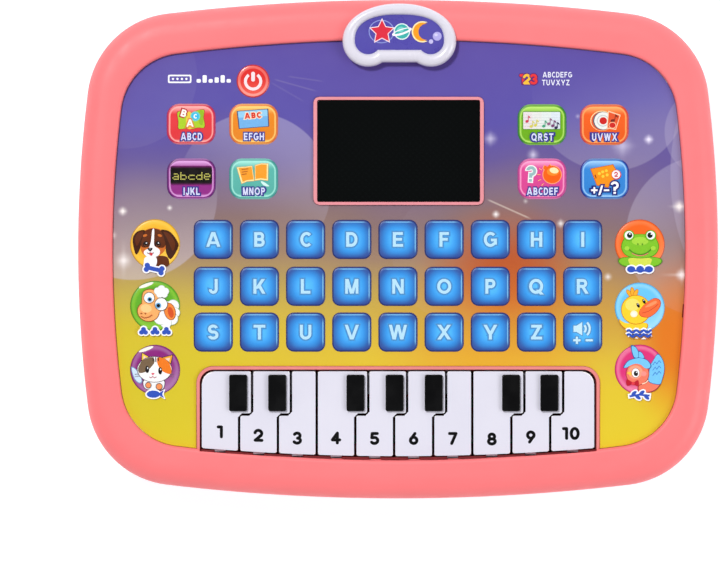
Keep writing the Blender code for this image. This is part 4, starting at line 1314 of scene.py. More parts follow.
def draw_spelling(art):
    shades = ((122, 30, 110), (98, 26, 88), (74, 20, 66), (50, 14, 42), (30, 10, 24), (12, 6, 8))
    for layer, ink in enumerate(shades):
        art.shape(ink, rounded_rectangle(-0.05, 1.2, 14.9, 7.0 - 0.42 * layer, 0.6, 3))
    dot_ink, pitch = (196, 192, 96), 0.47
    for index, rows in enumerate(DOT_LETTERS):
        for row, dots in enumerate(rows):
            for column, dot in enumerate(dots):
                if dot == "#":
                    x, y = ((index - 2) * 6.0 + column - 2) * pitch, 0.8 + (3 - row) * pitch
                    art.shape(dot_ink, rounded_rectangle(x, y, 0.4, 0.4, 0.08, 1), rise=0)
    art.level += Print.STEP
    caption(art, "IJKL")


def draw_reading(art):
    left = [(-6.0, 4.1), (-4.3, -1.7), (-2.4, -0.9), (0.2, -0.7), (-0.6, 4.6), (-3.0, 4.3)]
    right = [(0.5, 4.8), (0.5, -0.6), (2.6, -0.3), (5.1, -0.6), (5.2, 5.4), (2.8, 5.5)]
    for page, turned in ((left, 1), (right, -1)):
        art.shape((222, 132, 60), scaled(page, 1.04))
        art.shape((255, 232, 160), page)
        art.shape((244, 158, 44), [(x + 0.15 * turned, y + 0.12) for x, y in scaled(page, 0.86)])
    for row in range(3):
        art.line((190, 104, 34), [(-4.3, 3.3 - row * 0.9), (-1.9 - 0.3 * row, 3.6 - row * 0.9)], 0.32)
    art.soft((210, 244, 238), [(2.6, -0.9), (3.8, -1.2), (5.6, -2.6), (4.2, -2.6), (3.2, -2.0)], steps=4)
    caption(art, "MNOP")


def draw_song(art):
    art.shape((92, 140, 50), rounded_rectangle(-0.15, 1.5, 13.7, 6.6, 0.3, 1))
    for layer, ink in enumerate(((232, 222, 224), (230, 230, 226), (226, 234, 230), (220, 230, 238))):
        art.shape(ink, rounded_rectangle(-0.15 + 1.65 * layer, 1.5, 13.2 - 3.3 * layer, 6.1, 0.2, 1))
    for row in range(5):
        art.line((206, 214, 218), [(-6.5, 3.5 - 1.0 * row), (6.2, 3.5 - 1.0 * row)], 0.12)
    notes = (
        (-5.4, 1.2, (206, 60, 84)), (-3.9, -0.6, (214, 204, 90)), (-2.4, -0.2, (214, 204, 90)),
        (0.6, -0.5, (60, 160, 120)), (2.4, 0.3, (150, 90, 130)), (3.8, -0.4, (120, 60, 110)),
        (5.0, -1.1, (50, 40, 80)),
    )
    for x, y, ink in notes:
        note(art, ink, x, y)
    caption(art, "QRST")


def draw_music(art):
    art.oval((255, 226, 170), -0.9, 1.4, 4.1, 3.6)
    art.oval((226, 92, 50), -0.9, 1.3, 3.8, 3.4)
    art.oval((112, 96, 104), -0.6, 1.4, 3.5, 3.3)
    art.oval((236, 238, 234), -0.4, 1.4, 3.2, 3.1)
    art.oval((196, 202, 204), -0.5, 1.4, 2.2, 2.1)
    art.oval((236, 238, 234), -0.5, 1.4, 1.85, 1.75)
    art.oval((206, 36, 34), -0.4, 1.4, 1.35, 1.3)
    card = [(1.0, -1.2), (4.1, -1.7), (5.7, 3.4), (1.5, 4.8)]
    art.shape((255, 206, 170), scaled(card, 1.06))
    art.shape((228, 88, 46), scaled(card, 0.92))
    note(art, (120, 40, 30), 3.0, 1.4, 1.25, -12)
    art.oval((255, 190, 150), 2.9, -0.2, 1.35, 1.2)
    art.oval((206, 40, 34), 2.9, -0.2, 1.1, 0.95)
    caption(art, "UVWX")


def draw_question(art):
    art.outlined((150, 186, 188), (240, 240, 240), "?", -4.0, 1.7, 5.4, 0.42, 0.02, -4)
    spikes = [(0.9, 4.9), (1.9, 4.3), (2.8, 5.2), (3.4, 3.9), (1.4, 2.6), (0.4, 3.8)]
    ball = ellipse(3.6, 1.5, 3.2, 3.1)
    art.shape((255, 176, 130), scaled(spikes, 1.2))
    art.shape((255, 166, 120), scaled(ball, 1.09))
    art.shape((246, 104, 22), spikes)
    art.shape((246, 98, 18), ball)
    art.oval((252, 140, 40), 3.9, 2.6, 2.2, 1.5)
    art.oval((255, 232, 176), 4.3, 3.0, 1.6, 1.05, -12)
    for angle in (150, 176, 202, 226):
        c, s = math.cos(math.radians(angle)), math.sin(math.radians(angle))
        art.line((255, 176, 120), [(3.3 + 3.9 * c, 1.2 + 3.9 * s), (3.3 + 5.1 * c, 1.2 + 5.1 * s)], 0.28)
    caption(art, "ABCDEF")


def draw_sums(art):
    card = [(-4.9, 3.5), (-2.7, -2.2), (1.2, -3.0), (4.8, 1.6), (2.9, 5.0)]
    art.shape((190, 84, 40), scaled(card, 1.06))
    art.shape((244, 146, 26), card)
    for x, y in ((-1.9, 1.9), (-0.7, 2.5), (0.6, 2.9), (-0.6, 0.9), (0.9, 1.4)):
        art.oval((255, 206, 60), x, y, 0.55, steps=12)
    art.shape((150, 60, 30), [(-3.6, 1.4), (-3.2, 1.5), (-2.9, 0.2), (-3.2, 0.1)])
    art.oval((214, 60, 70), 4.2, 1.5, 1.75)
    art.oval((246, 242, 248), 4.1, 1.6, 1.5)
    art.letters((206, 50, 60), "2", 4.1, 1.6, 1.8)
    art.outlined(WHITE_INK, NAVY, "+/-", -1.6, -4.1, 3.1, 0.5, 0.04, gap=0.1)
    art.outlined(WHITE_INK, NAVY, "?", 3.6, -3.2, 4.4, 0.5, 0.0)


# Function keys: name, place, colours of the body, its outline and its lights, and the drawing.
FUNCTION_KEYS = (
    ("alphabet_key", -74.1, 44.8, (226, 52, 58), (176, 40, 84), (255, 190, 186), draw_alphabet),
    ("word_key", -51.7, 44.8, (232, 133, 20), (206, 104, 60), (255, 222, 130), draw_word),
    ("spelling_key", -74.0, 25.2, (146, 36, 134), (88, 24, 104), (236, 176, 238), draw_spelling),
    ("reading_key", -51.7, 25.2, (88, 178, 166), (62, 140, 138), (176, 244, 228), draw_reading),
    ("song_key", 51.6, 44.6, (108, 174, 8), (44, 120, 50), (196, 240, 120), draw_song),
    ("music_key", 73.9, 44.6, (238, 94, 24), (196, 66, 62), (255, 186, 112), draw_music),
    ("question_key", 51.6, 25.2, (218, 70, 146), (176, 60, 134), (255, 176, 216), draw_question),
    ("sums_key", 74.0, 25.2, (50, 132, 212), (30, 40, 138), (170, 216, 252), draw_sums),
)


def build_function_keys():
    for name, x, y, body, outline, light, draw in FUNCTION_KEYS:
        work = bmesh.new()
        emboss_rectangle(work, x, y, *FUNCTION_SIZE, FUNCTION_CORNER)
        mat = function_key_material(f"{name}_print", body, outline, light)
        settle(object_from(name, work), mat, flat_faces=False)
        art = Print(f"{name}_art", x, y, KEY_FLOOR)
        draw(art)
        art.done()


# ---- Animals: simple faces of this script's own drawing ------------------------------------------


def draw_dog(art):
    brown, dark_brown, tan = (96, 44, 18), (66, 30, 14), (206, 108, 40)
    art.soft(brown, [(0.2, -4.4), (3.9, -4.4), (5.0, -6.0), (4.6, -7.8), (1.4, -8.6), (-0.6, -7.4)])
    art.soft(WHITE_INK, [(-3.4, -4.6), (0.2, -4.6), (0.5, -7.2), (-1.6, -8.5), (-3.9, -7.4)])
    art.soft(tan, [(-5.5, 1.0), (-4.6, 4.2), (-1.0, 5.8), (2.8, 4.6), (4.0, 1.0), (3.2, -2.6), (-0.6, -4.8),
                   (-4.4, -3.4)])
    art.soft(brown, [(-5.3, 1.4), (-4.4, 4.1), (-1.0, 5.6), (2.6, 4.4), (3.9, 1.0), (3.3, -1.0), (1.6, -1.3),
                     (-1.0, -0.6), (-3.4, -1.2), (-4.9, -0.8)])
    art.soft(WHITE_INK, [(-1.0, 5.1), (-0.3, 5.2), (-0.35, 2.0), (-0.2, -0.6), (1.6, -2.0), (1.3, -3.9),
                         (-1.2, -4.9), (-3.6, -3.9), (-3.9, -2.5), (-2.2, -1.2), (-1.4, 1.6)])
    art.soft(dark_brown, [(-3.6, 4.9), (-6.4, 4.5), (-8.0, 2.1), (-7.6, -1.6), (-6.7, -3.7), (-5.4, -1.6),
                          (-4.6, 2.0)])
    art.soft(brown, [(-4.2, 4.4), (-6.2, 4.0), (-7.2, 1.8), (-6.6, -0.6), (-5.6, 0.8)])
    art.soft(dark_brown, [(2.2, 5.1), (5.4, 4.4), (8.2, 0.6), (8.0, -1.8), (5.6, -5.3), (4.0, -3.0),
                          (3.7, 0.2), (3.0, 2.8)])
    art.soft(brown, [(3.0, 4.4), (5.2, 3.6), (7.2, 0.4), (6.4, -2.4), (5.4, -0.6), (4.2, 2.2)])
    for x, y in ((-3.3, 0.0), (1.0, 0.0)):
        art.oval(DARK, x, y, 0.95, 1.05)
        art.oval((130, 70, 40), x, y - 0.25, 0.6)
        art.oval(DARK, x, y, 0.5, 0.55)
        art.oval(WHITE_INK, x + 0.25, y + 0.4, 0.22, steps=10)
    for x in (-3.6, 1.7):
        art.oval(tan, x, 3.1, 0.8, 0.45, 20 if x < 0 else -20)
    art.soft(DARK, [(-2.7, -1.5), (-1.8, -1.3), (-0.9, -1.5), (-1.8, -2.6)])
    art.oval((170, 170, 176), -1.8, -1.65, 0.4, 0.14, steps=10)
    art.line((90, 50, 40), [(-2.9, -3.0), (-2.3, -3.4), (-1.7, -3.0), (-1.1, -3.4), (-0.4, -3.0)], 0.18)
    art.soft((206, 60, 70), [(-2.1, -3.2), (-0.9, -3.2), (-1.4, -4.2)])


def draw_sheep(art):
    face, edge, wool = (250, 176, 104), (150, 84, 40), (246, 246, 248)
    for x, y, r in ((6.4, 0.0, 2.1), (7.1, -2.4, 1.7), (6.0, -4.6, 2.1), (3.9, -6.0, 1.9), (2.0, -4.2, 2.4)):
        art.oval((176, 196, 170), x, y, r + 0.2)
        art.oval(wool, x, y, r)
    art.soft(wool, [(2.0, 1.0), (6.4, 1.0), (7.4, -3.0), (4.4, -6.6), (0.8, -5.0)])
    art.oval(edge, 5.3, -2.0, 2.1, 3.2, 14)
    art.oval((244, 138, 60), 5.3, -2.0, 1.85, 2.95, 14)
    art.oval((214, 84, 40), 5.6, -2.3, 1.0, 2.0, 14)
    for grow, ink in ((0.28, edge), (0.0, face)):
        art.oval(ink, -2.4, -2.0, 3.8 + grow, 3.4 + grow, -12)
        art.soft(ink, [(-4.5 - grow, 3.2), (-3.8, 5.2 + grow), (-1.4, 5.8 + grow), (0.6, 4.6 + grow),
                       (2.6 + grow, 1.6), (2.2 + grow, -1.6), (-0.4, -3.0), (-4.2, -1.6)])
    art.oval((255, 206, 140), -3.2, -0.9, 2.0, 1.5, -10)
    tuft = ((0.9, 5.3, 1.2), (2.3, 6.0, 1.3), (3.7, 5.2, 1.2), (3.3, 4.1, 1.1), (1.7, 4.2, 1.2))
    for x, y, r in tuft:
        art.oval((190, 196, 190), x, y, r + 0.16)
    for x, y, r in (*tuft, (2.3, 5.0, 1.2)):
        art.oval((248, 248, 248), x, y, r)
    for x, y, r, px, py in ((-2.1, 2.9, 1.8, -1.9, 2.3), (2.2, 0.6, 2.15, 1.2, 0.1)):
        art.oval((96, 84, 76), x, y, r + 0.2)
        art.oval(WHITE_INK, x, y, r)
        art.oval((120, 176, 220), px, py, r * 0.5)
        art.oval(DARK, px, py, r * 0.3, steps=14)
    for x in (-4.9, -3.5):
        art.oval((176, 92, 44), x, -2.7, 0.32, 0.26, 20, 10)
    art.line((176, 84, 44), [(-5.1, -3.7), (-3.8, -4.3), (-2.2, -4.0), (-1.0, -3.2)], 0.25)


def draw_cat(art):
    edge, grey, orange = (70, 52, 60), (120, 98, 74), (240, 124, 34)
    art.soft((120, 150, 190), [(-8.6, 1.0), (-6.6, 0.0), (-4.6, -3.6), (-5.4, -5.0), (-7.6, -3.2)])
    art.soft((208, 230, 250), [(-8.3, 0.7), (-6.6, -0.3), (-4.9, -3.4), (-5.6, -4.6), (-7.4, -2.9)])
    left_ear, right_ear = [(-4.6, 6.0), (-1.6, 4.1), (-4.8, 2.6)], [(6.2, 5.2), (2.2, 4.2), (5.3, 1.4)]
    for ear, ink in ((left_ear, (246, 204, 66)), (right_ear, (246, 168, 50))):
        art.shape(edge, scaled(ear, 1.22))
        art.shape(ink, ear)
        art.shape((250, 214, 190), scaled(ear, 0.5))
    art.soft(edge, [(-3.7, -3.4), (2.9, -3.4), (3.4, -6.0), (2.0, -7.4), (-2.6, -7.2), (-4.2, -5.8)])
    art.soft((246, 246, 248), [(-3.5, -3.6), (2.7, -3.6), (3.2, -5.9), (1.9, -7.2), (-2.5, -7.0),
                               (-4.0, -5.8)])
    art.oval(edge, -0.17, 0.16, 6.3, 4.7)
    art.oval((250, 248, 248), -0.17, 0.16, 6.1, 4.5)
    art.soft(grey, [(-5.9, 1.0), (-4.4, 3.4), (-1.0, 4.5), (-0.2, 2.8), (-1.6, 0.8), (-3.6, -0.8),
                    (-5.8, -1.0)])
    art.soft(orange, [(5.4, 1.8), (3.6, 3.8), (0.9, 4.4), (1.0, 1.8), (2.8, -0.6), (5.7, -1.4)])
    for x, y in ((-2.8, 0.16), (1.85, -0.35)):
        art.oval(DARK, x, y, 0.68, 1.3)
        art.oval(WHITE_INK, x + 0.15, y + 0.5, 0.22, 0.32, steps=10)
    art.soft((226, 96, 116), [(-1.3, -1.2), (-0.2, -1.2), (-0.8, -1.9)])
    art.line((170, 60, 90), [(-2.1, -2.5), (-1.5, -2.9), (-0.8, -2.4), (-0.1, -2.9), (0.5, -2.5)], 0.22)
    for x, low in ((-0.7, 3.1), (0.2, 2.8), (1.1, 3.2)):
        art.line((60, 44, 40), [(x, 4.5), (x + 0.1, low)], 0.34)
    for x, side in ((-5.6, -1), (4.9, 1)):
        for y in (-1.4, -2.2):
            art.line((150, 130, 140), [(x, y), (x + side * 1.7, y - 0.2)], 0.12)
    for x, y, r in ((-2.4, -5.5, 0.9), (1.5, -6.0, 1.0)):
        art.oval(edge, x, y, r + 0.2, r + 0.25)
        art.oval((246, 150, 90), x, y, r)


def draw_frog(art):
    green, dark, light = (128, 196, 44), (76, 140, 30), (166, 216, 66)
    art.soft(dark, [(-5.2, -4.5), (5.4, -4.5), (8.1, -5.8), (6.0, -7.8), (0.2, -8.4), (-5.8, -7.8),
                    (-7.8, -5.8)])
    art.soft(green, [(-5.0, -4.7), (5.2, -4.7), (7.7, -5.9), (5.8, -7.5), (0.2, -8.1), (-5.6, -7.5),
                     (-7.4, -5.9)])
    art.soft((214, 224, 84), [(-3.4, -4.9), (3.6, -4.9), (4.0, -6.6), (2.4, -8.0), (-2.2, -8.0),
                              (-3.8, -6.6)])
    head = [(-6.4, -1.2), (-5.6, 1.8), (-3.4, 3.2), (0.1, 3.6), (3.6, 3.2), (5.8, 1.8), (6.6, -1.2),
            (4.8, -3.9), (0.1, -4.8), (-4.6, -3.9)]
    art.rimmed(dark, green, head, 1.04)
    art.oval(light, 0.1, 1.2, 3.0, 1.5)
    for x in (-3.9, 3.9):
        art.oval(dark, x, 3.2, 2.0, 1.95)
        art.oval(green, x, 3.2, 1.85, 1.8)
        art.oval(WHITE_INK, x, 3.3, 1.5)
        art.oval((20, 40, 24), x - 0.25 * math.copysign(1, x), 3.3, 0.95, 1.0)
        art.oval(WHITE_INK, x + 0.3, 3.75, 0.3, steps=10)
    art.line(dark, arc((0.1, 1.3), 4.9, 208, 332, 16), 0.38)
    art.line((240, 130, 120), arc((0.1, 1.2), 5.2, 236, 304, 10), 0.26)
    for x in (-0.7, 0.9):
        art.oval(dark, x, 0.1, 0.22, 0.3, steps=10)
    for x in (-4.6, 4.8):
        art.oval(light, x, -1.4, 0.9, 0.8)


def draw_duck(art):
    yellow, deep = (254, 210, 50), (206, 128, 24)
    art.soft(deep, [(-7.6, -4.2), (-4.6, -5.6), (1.8, -5.4), (3.0, -6.6), (1.6, -8.3), (-2.6, -8.6),
                    (-6.0, -7.2)])
    art.soft(yellow, [(-7.3, -4.5), (-4.6, -5.6), (1.6, -5.4), (2.7, -6.6), (1.4, -8.0), (-2.6, -8.3),
                      (-5.8, -6.9)])
    for x, y, turn in ((-3.6, 4.9, 38), (-2.6, 5.5, 8), (-1.6, 4.9, -28)):
        art.oval(deep, x, y, 0.8, 1.9, turn)
        art.oval((250, 176, 50), x, y, 0.58, 1.65, turn)
    art.oval(deep, -1.4, -0.75, 5.35, 5.3)
    art.oval(yellow, -1.4, -0.75, 5.1, 5.05)
    art.oval((255, 226, 110), -2.6, 1.0, 2.6, 2.2)
    bill = [(0.0, -1.2), (1.4, 0.7), (3.4, 2.3), (5.4, 3.2), (7.1, 2.4), (7.1, 0.4), (5.6, -1.8),
            (3.3, -3.3), (1.0, -3.2), (0.0, -2.3)]
    art.rimmed((196, 70, 40), (250, 112, 60), bill, 1.06)
    art.soft((255, 150, 100), [(1.8, 0.1), (3.6, 1.5), (5.6, 2.4), (6.0, 1.7), (4.0, 0.5)])
    art.line((196, 70, 44), [(0.7, -2.0), (3.0, -1.4), (5.3, 0.1), (6.7, 1.3)], 0.2)
    for x, y in ((-0.6, 0.8), (1.5, 2.2)):
        art.oval(DARK, x, y, 0.5, 0.9, 25, 16)
        art.oval(WHITE_INK, x - 0.05, y + 0.4, 0.17, 0.22, steps=8)
    art.oval((255, 240, 206), -2.1, -2.3, 1.3, 1.2)
    art.oval((255, 250, 236), -2.1, -2.3, 0.8, 0.7)


def draw_bird(art):
    coral, sky, edge = (242, 126, 100), (120, 200, 248), (52, 92, 156)
    art.soft((160, 50, 60), [(0.4, -4.2), (5.4, -3.6), (7.5, -5.0), (5.4, -7.6), (1.4, -8.5), (-0.8, -7.4)])
    art.soft(coral, [(0.6, -4.3), (5.2, -3.8), (7.2, -5.0), (5.2, -7.3), (1.4, -8.2), (-0.4, -7.3)])
    wing = [(6.5, 5.4), (8.2, 3.2), (8.7, 0.0), (7.8, -3.9), (6.9, -5.2), (3.4, -4.3), (3.3, -1.7),
            (3.8, 1.2), (4.9, 3.3)]
    art.rimmed(edge, sky, wing, 1.05)
    feather = [(4.6, -0.6), (5.5, 0.6), (6.1, -0.2), (6.9, 1.0), (7.6, 0.2)]
    for up in (2.2, 0.3, -1.6):
        art.line((74, 136, 208), [(x, up + y) for x, y in feather], 0.26)
    tall_crest = [(-3.1, 8.2), (-1.8, 8.3), (-0.8, 7.0), (0.0, 4.6), (-2.0, 4.2)]
    for crest in (tall_crest, [(-0.35, 6.4), (0.8, 5.9), (1.6, 4.1), (-0.2, 4.1)]):
        art.soft(edge, crest, 1.1, steps=4)
        art.soft(sky, crest, 0.9, steps=4)
    art.oval((160, 50, 60), -0.8, -1.5, 4.2)
    art.oval(coral, -0.8, -1.5, 4.0)
    art.oval((252, 164, 132), -1.6, -0.9, 2.6, 2.4)
    hood = [(-5.6, 0.9), (-4.2, 2.9), (-2.1, 3.8), (0.1, 4.1), (2.5, 3.3), (3.8, 1.6), (3.3, 0.5),
            (1.7, 0.6), (0.4, 1.7), (-1.5, 2.1), (-3.4, 1.5), (-4.7, 0.75)]
    art.rimmed(edge, sky, hood, 1.07)
    art.oval((150, 70, 70), -1.5, -1.2, 1.5, 1.75)
    art.oval((255, 255, 255), -1.5, -1.2, 1.35, 1.6)
    art.oval(DARK, -1.4, -1.4, 0.78, 0.95)
    art.oval(WHITE_INK, -1.15, -1.0, 0.24, 0.26, steps=10)
    art.oval((255, 150, 140), 1.4, -1.5, 1.0, 0.9)
    art.soft((250, 196, 70), [(-4.6, -1.2), (-3.2, -0.8), (-3.1, -2.2)], steps=4)
    art.soft((190, 30, 50), [(-4.7, -3.5), (-4.6, -5.8), (-2.4, -5.0), (-2.6, -4.6)], steps=4)
    art.soft((190, 30, 50), [(-2.2, -4.7), (-0.6, -3.8), (-0.5, -6.0), (-2.2, -5.3)], steps=4)
    art.oval((226, 60, 74), -2.4, -5.0, 0.6, steps=14)
    art.line((255, 226, 200), [(0.8, -5.2), (2.1, -4.7), (3.0, -3.8)], 0.34)


def bone_tag(art, ink, grow):
    for x in (-2.7, 2.7):
        for y in (-0.75, 0.75):
            art.oval(ink, x, y, 0.95 + grow, steps=18)
    art.shape(ink, rounded_rectangle(0, 0, 5.6 + 2 * grow, 1.5 + 2 * grow, 0.3, 2))


def clover_tag(art, ink, grow):
    for middle in (-4.1, 0.0, 4.1):
        for angle in (90, 210, 330):
            x, y = middle + 0.85 * math.cos(math.radians(angle)), 0.75 * math.sin(math.radians(angle))
            art.oval(ink, x, y, 0.85 + grow, 0.8 + grow, steps=18)


def fish_tag(art, ink, grow):
    art.oval(ink, -0.7, 0, 2.4 + grow, 1.3 + grow)
    tail = [(1.2, 0), (3.0 + grow, 1.3 + grow), (2.5 + grow, 0), (3.0 + grow, -1.3 - grow)]
    art.soft(ink, tail, steps=4)


def pond_tag(art, ink, grow):
    for x, rx, ry in ((-3.1, 1.5, 1.15), (0.1, 1.4, 1.25), (3.2, 1.5, 1.15)):
        art.oval(ink, x, 0.1, rx + grow, ry + grow)
    art.shape(ink, rounded_rectangle(0, -0.4, 5.0 + 2 * grow, 0.7 + 2 * grow, 0.2, 2))


def wave_tag(art, ink, grow):
    for y in (0.75, -0.65):
        points = [(-4.4 + 0.4 * i, y + 0.42 * math.sin(i * 0.94)) for i in range(23)]
        art.line(ink, points, 0.85 + 2 * grow)


def twig_tag(art, ink, grow):
    art.line(ink, [(-3.6 - grow, -0.5), (0, 0.1), (3.6 + grow, -0.2)], 0.7 + 2 * grow)
    for x, y, turn in ((-2.0, 0.6, 40), (0.8, 0.8, 35), (2.5, -0.8, -40), (-0.6, -0.8, -35)):
        art.oval(ink, x, y, 1.15 + grow, 0.6 + grow, turn, 18)


# Animal keys: name, place, colours of the disc and its light, the drawing, the tag, the tag's place and turn,
# and whether the disc has a bright streak.
ANIMALS = (
    ("dog_key", -87.0, 1.8, (240, 182, 44), (252, 206, 80), draw_dog, bone_tag, (-0.3, -8.9, -13), False),
    ("sheep_key", -87.0, -20.3, (96, 172, 34), (150, 206, 60), draw_sheep, clover_tag, (0, -9.1, 0), True),
    ("cat_key", -87.0, -43.2, (138, 34, 122), (176, 126, 176), draw_cat, fish_tag, (0.1, -8.7, 0), True),
    ("frog_key", 86.6, 1.7, (244, 100, 26), (252, 140, 84), draw_frog, pond_tag, (0, -9.0, 0), False),
    ("duck_key", 86.6, -20.9, (104, 196, 250), (164, 222, 252), draw_duck, wave_tag, (-0.2, -9.3, 0), False),
    ("bird_key", 86.6, -43.1, (220, 50, 120), (242, 150, 182), draw_bird, twig_tag, (-0.1, -9.1, 0), False),
)


def build_animal_keys():
    for name, x, y, body, light, draw, tag, (tag_x, tag_y, tag_turn), shine in ANIMALS:
        work = bmesh.new()
        emboss_disc(work, x, y, DISC_R)
        mat = disc_material(f"{name}_print", body, light)
        settle(object_from(name, work), mat, flat_faces=False)
        art = Print(f"{name}_art", x, y, KEY_FLOOR)
        if shine:
            art.oval((250, 244, 236), -3.2, 7.4, 2.75, 0.6, 20)
        draw(art)
        top = art.level
        art.done()
        label = Print(f"{name}_tag", x + tag_x, y + tag_y, FILM_TOP, tag_turn)
        label.level = top
        tag(label, WHITE_INK, 0.5)
        tag(label, (52, 84, 186), 0.0)
        label.done()


def build_power_key():
    work = bmesh.new()
    emboss_disc(work, *POWER_KEY, POWER_R)
    settle(object_from("power_key", work), power_key_material())
    art = Print("power_legend", *POWER_KEY, KEY_FLOOR)
    art.line((244, 226, 230), arc((0, -0.1), 2.75, 124, 416, 24), 1.05)
    art.shape((244, 226, 230), rounded_rectangle(0, 1.6, 1.35, 3.5, 0.6, 4))
    art.done()


def build_top_prints():
    """Marks on either side of the badge, and two short dark lines of painted shade where the film's right
    edge has slits.
    """
    art = Print("screen_mark", -71.6, 61.0, FILM_TOP)
    opening = rounded_rectangle(-6.6, 0, 7.3, 1.9, 0.3, 2)
    art.shape(WHITE_INK, rounded_rectangle(-6.6, 0, 8.4, 3.0, 0.5, 2), opening[::-1])
    for column in range(4):
        art.oval(WHITE_INK, -9.0 + 1.6 * column, 0, 0.42, steps=12)
    for column, height in enumerate((1.3, 2.7, 1.3, 1.9, 2.7, 1.3)):
        art.shape(WHITE_INK, rounded_rectangle(0.2 + 2.15 * column, (height - 2.7) / 2, 1.5, height, 0.35, 2))
    art.done()
    # Painted shade: two dark maroon ink lines stand for the shade in slits at the film's right edge.
    slots = Print("film_edge_slit_shade", 0, 0, FILM_TOP)
    slots.line((104, 4, 16), [(100.0, 50.7), (100.6, 45.4)], 0.42)
    slots.line((104, 4, 16), [(102.25, -19.7), (101.9, -24.4)], 0.42)
    slots.done()
    art = Print("number_mark", 46.3, 60.9, FILM_TOP)
    red, yellow = (230, 56, 56), (244, 190, 60)
    for digit, x, ink in (("1", -1.9, red), ("2", -0.1, yellow), ("3", 2.3, red)):
        art.outlined(ink, (96, 40, 110), digit, x, 0, 3.7, 0.3, 0.05)
    for run, x, y in (("ABCDEFG", 10.8, 1.6), ("TUVXYZ", 10.2, -1.2)):
        art.letters((232, 232, 250), run, x, y, 2.0, gap=0.2, squeeze=0.8)
    art.done()


def build_badge_art():
    """A star, a ringed planet, a moon and bubbles fill the label where the toy's name would be."""
    art = Print("badge_art", 0.6, 77.6, top_of("badge_label"))
    outer, inner = (ellipse(-6.5, 0.2, rx, ry, steps=40) for rx, ry in ((4.6, 4.2), (4.25, 3.85)))
    art.shape((140, 150, 214), outer, inner[::-1])
    star = [(4.2 if i % 2 == 0 else 2.1, math.radians(90 + 36 * i)) for i in range(10)]
    for ink, size in (((250, 224, 232), 1.16), ((220, 44, 64), 1.0)):
        art.shape(ink, [(-6.3 + size * r * math.cos(a), 0.1 + size * r * math.sin(a)) for r, a in star])
    art.oval((222, 240, 240), 0.8, 0.2, 2.95)
    art.oval((60, 176, 170), 0.8, 0.2, 2.55)
    art.oval((120, 210, 200), 0.3, 0.9, 1.3, 1.0, 20)
    art.shape((250, 246, 250), ellipse(0.8, 0.1, 3.7, 1.05, 18), ellipse(0.8, 0.3, 3.0, 0.5, 18)[::-1])
    for ink, r in (((255, 234, 176), 3.8), ((244, 156, 32), 3.3)):
        hollow = arc((8.1 + r * 0.45, 0.1), r * 0.868, 273.3, 86.7, 24)
        art.shape(ink, arc((8.1, 0.1), r, 60, 300, 24) + hollow[1:-1])
    art.oval((178, 172, 230), 13.4, -1.5, 1.6)
    art.oval((214, 210, 244), 13.0, -1.0, 0.6, 0.5)
    art.oval((196, 190, 236), 11.2, -3.4, 0.8, steps=16)
    art.done()


# ---- Piano ---------------------------------------------------------------------------------------


def key_middle(number):
    left, right = key_edges(number)
    return (left + right) / 2


def build_piano():
    """Each key is one piece with its tongue, tab and plunger, and carries its number and any black key."""
    for number in range(1, 11):
        body = f"piano_key_{number}"
        key = prism(f"piano_key_cap_{number}", key_outline(number), KEY_LOW, KEY_TOP, 0.4, 3)
        x = key_middle(number)
        front = front_arc(KEY_FRONT_Y, x)
        tongue, tab = (x + TONGUE[0], x + TONGUE[1]), (x - TAB_HALF, x + TAB_HALF)
        join(
            key,
            box("tongue", *tongue, -52, -39.2, UNDER_LOW, UNDER_TOP),
            box("tongue_root", *tongue, -52, -44.6, 19.0, 21.0),
            box("tab", *tab, front - 3.6, front + 4.0, UNDER_LOW, UNDER_TOP),
            box("tab_root", *tab, front - 0.7, front + 4.0, 19.0, 22.9),
            lathe("plunger", [(1.8, 18.9), (2.0, 19.1), (2.0, 21.0)], x, -62.0, 16),
        )
        settle(key, KEY_WHITE, body=body, replaces=(f"white_key_{number}",))
        left_by = 0.7 if number == 10 else 0.0
        legend = Print(f"piano_number_{number}", x - left_by, NUMBERS_Y[number - 1], KEY_TOP)
        legend.letters(NUMBER_INK, str(number), 0, 0, 4.6, 0.05)
        legend.done(body=body)
        if number in BLACK_KEYS:
            outline = rounded_rectangle(BLACK_KEYS[number], BLACK_Y, *BLACK_SIZE, 0.7, 4)
            pad = prism(f"piano_pad_{number}", outline, PAD_LOW, PAD_TOP, 0.3, 3)
            settle(pad, BLACK, body=body, replaces=(f"black_key_{number}",))


def build_piano_trim():
    """A dark red strip, raised as the rubber mat's edge into the gap round the white keys so that the gap
    shows painted shade, and open where their tabs pass.
    """
    inside = piano_outline(0.3, OPENING_FRONT_Y + 0.4)
    # Painted shade: the strip stands up into the gap so that its dark red reads as the gap's shade.
    trim = plate("piano_gap_shade_strip", [piano_outline(0.02), inside[::-1]], 21.6, 23.3)
    middles = [key_middle(number) for number in range(1, 11)]
    cut(trim, *[box("tab_room", x - 2.0, x + 2.0, -80, -70, 20, 25) for x in middles])
    settle(trim, SILICONE_AND_GAP_SHADE)


# ---- Inside --------------------------------------------------------------------------------------


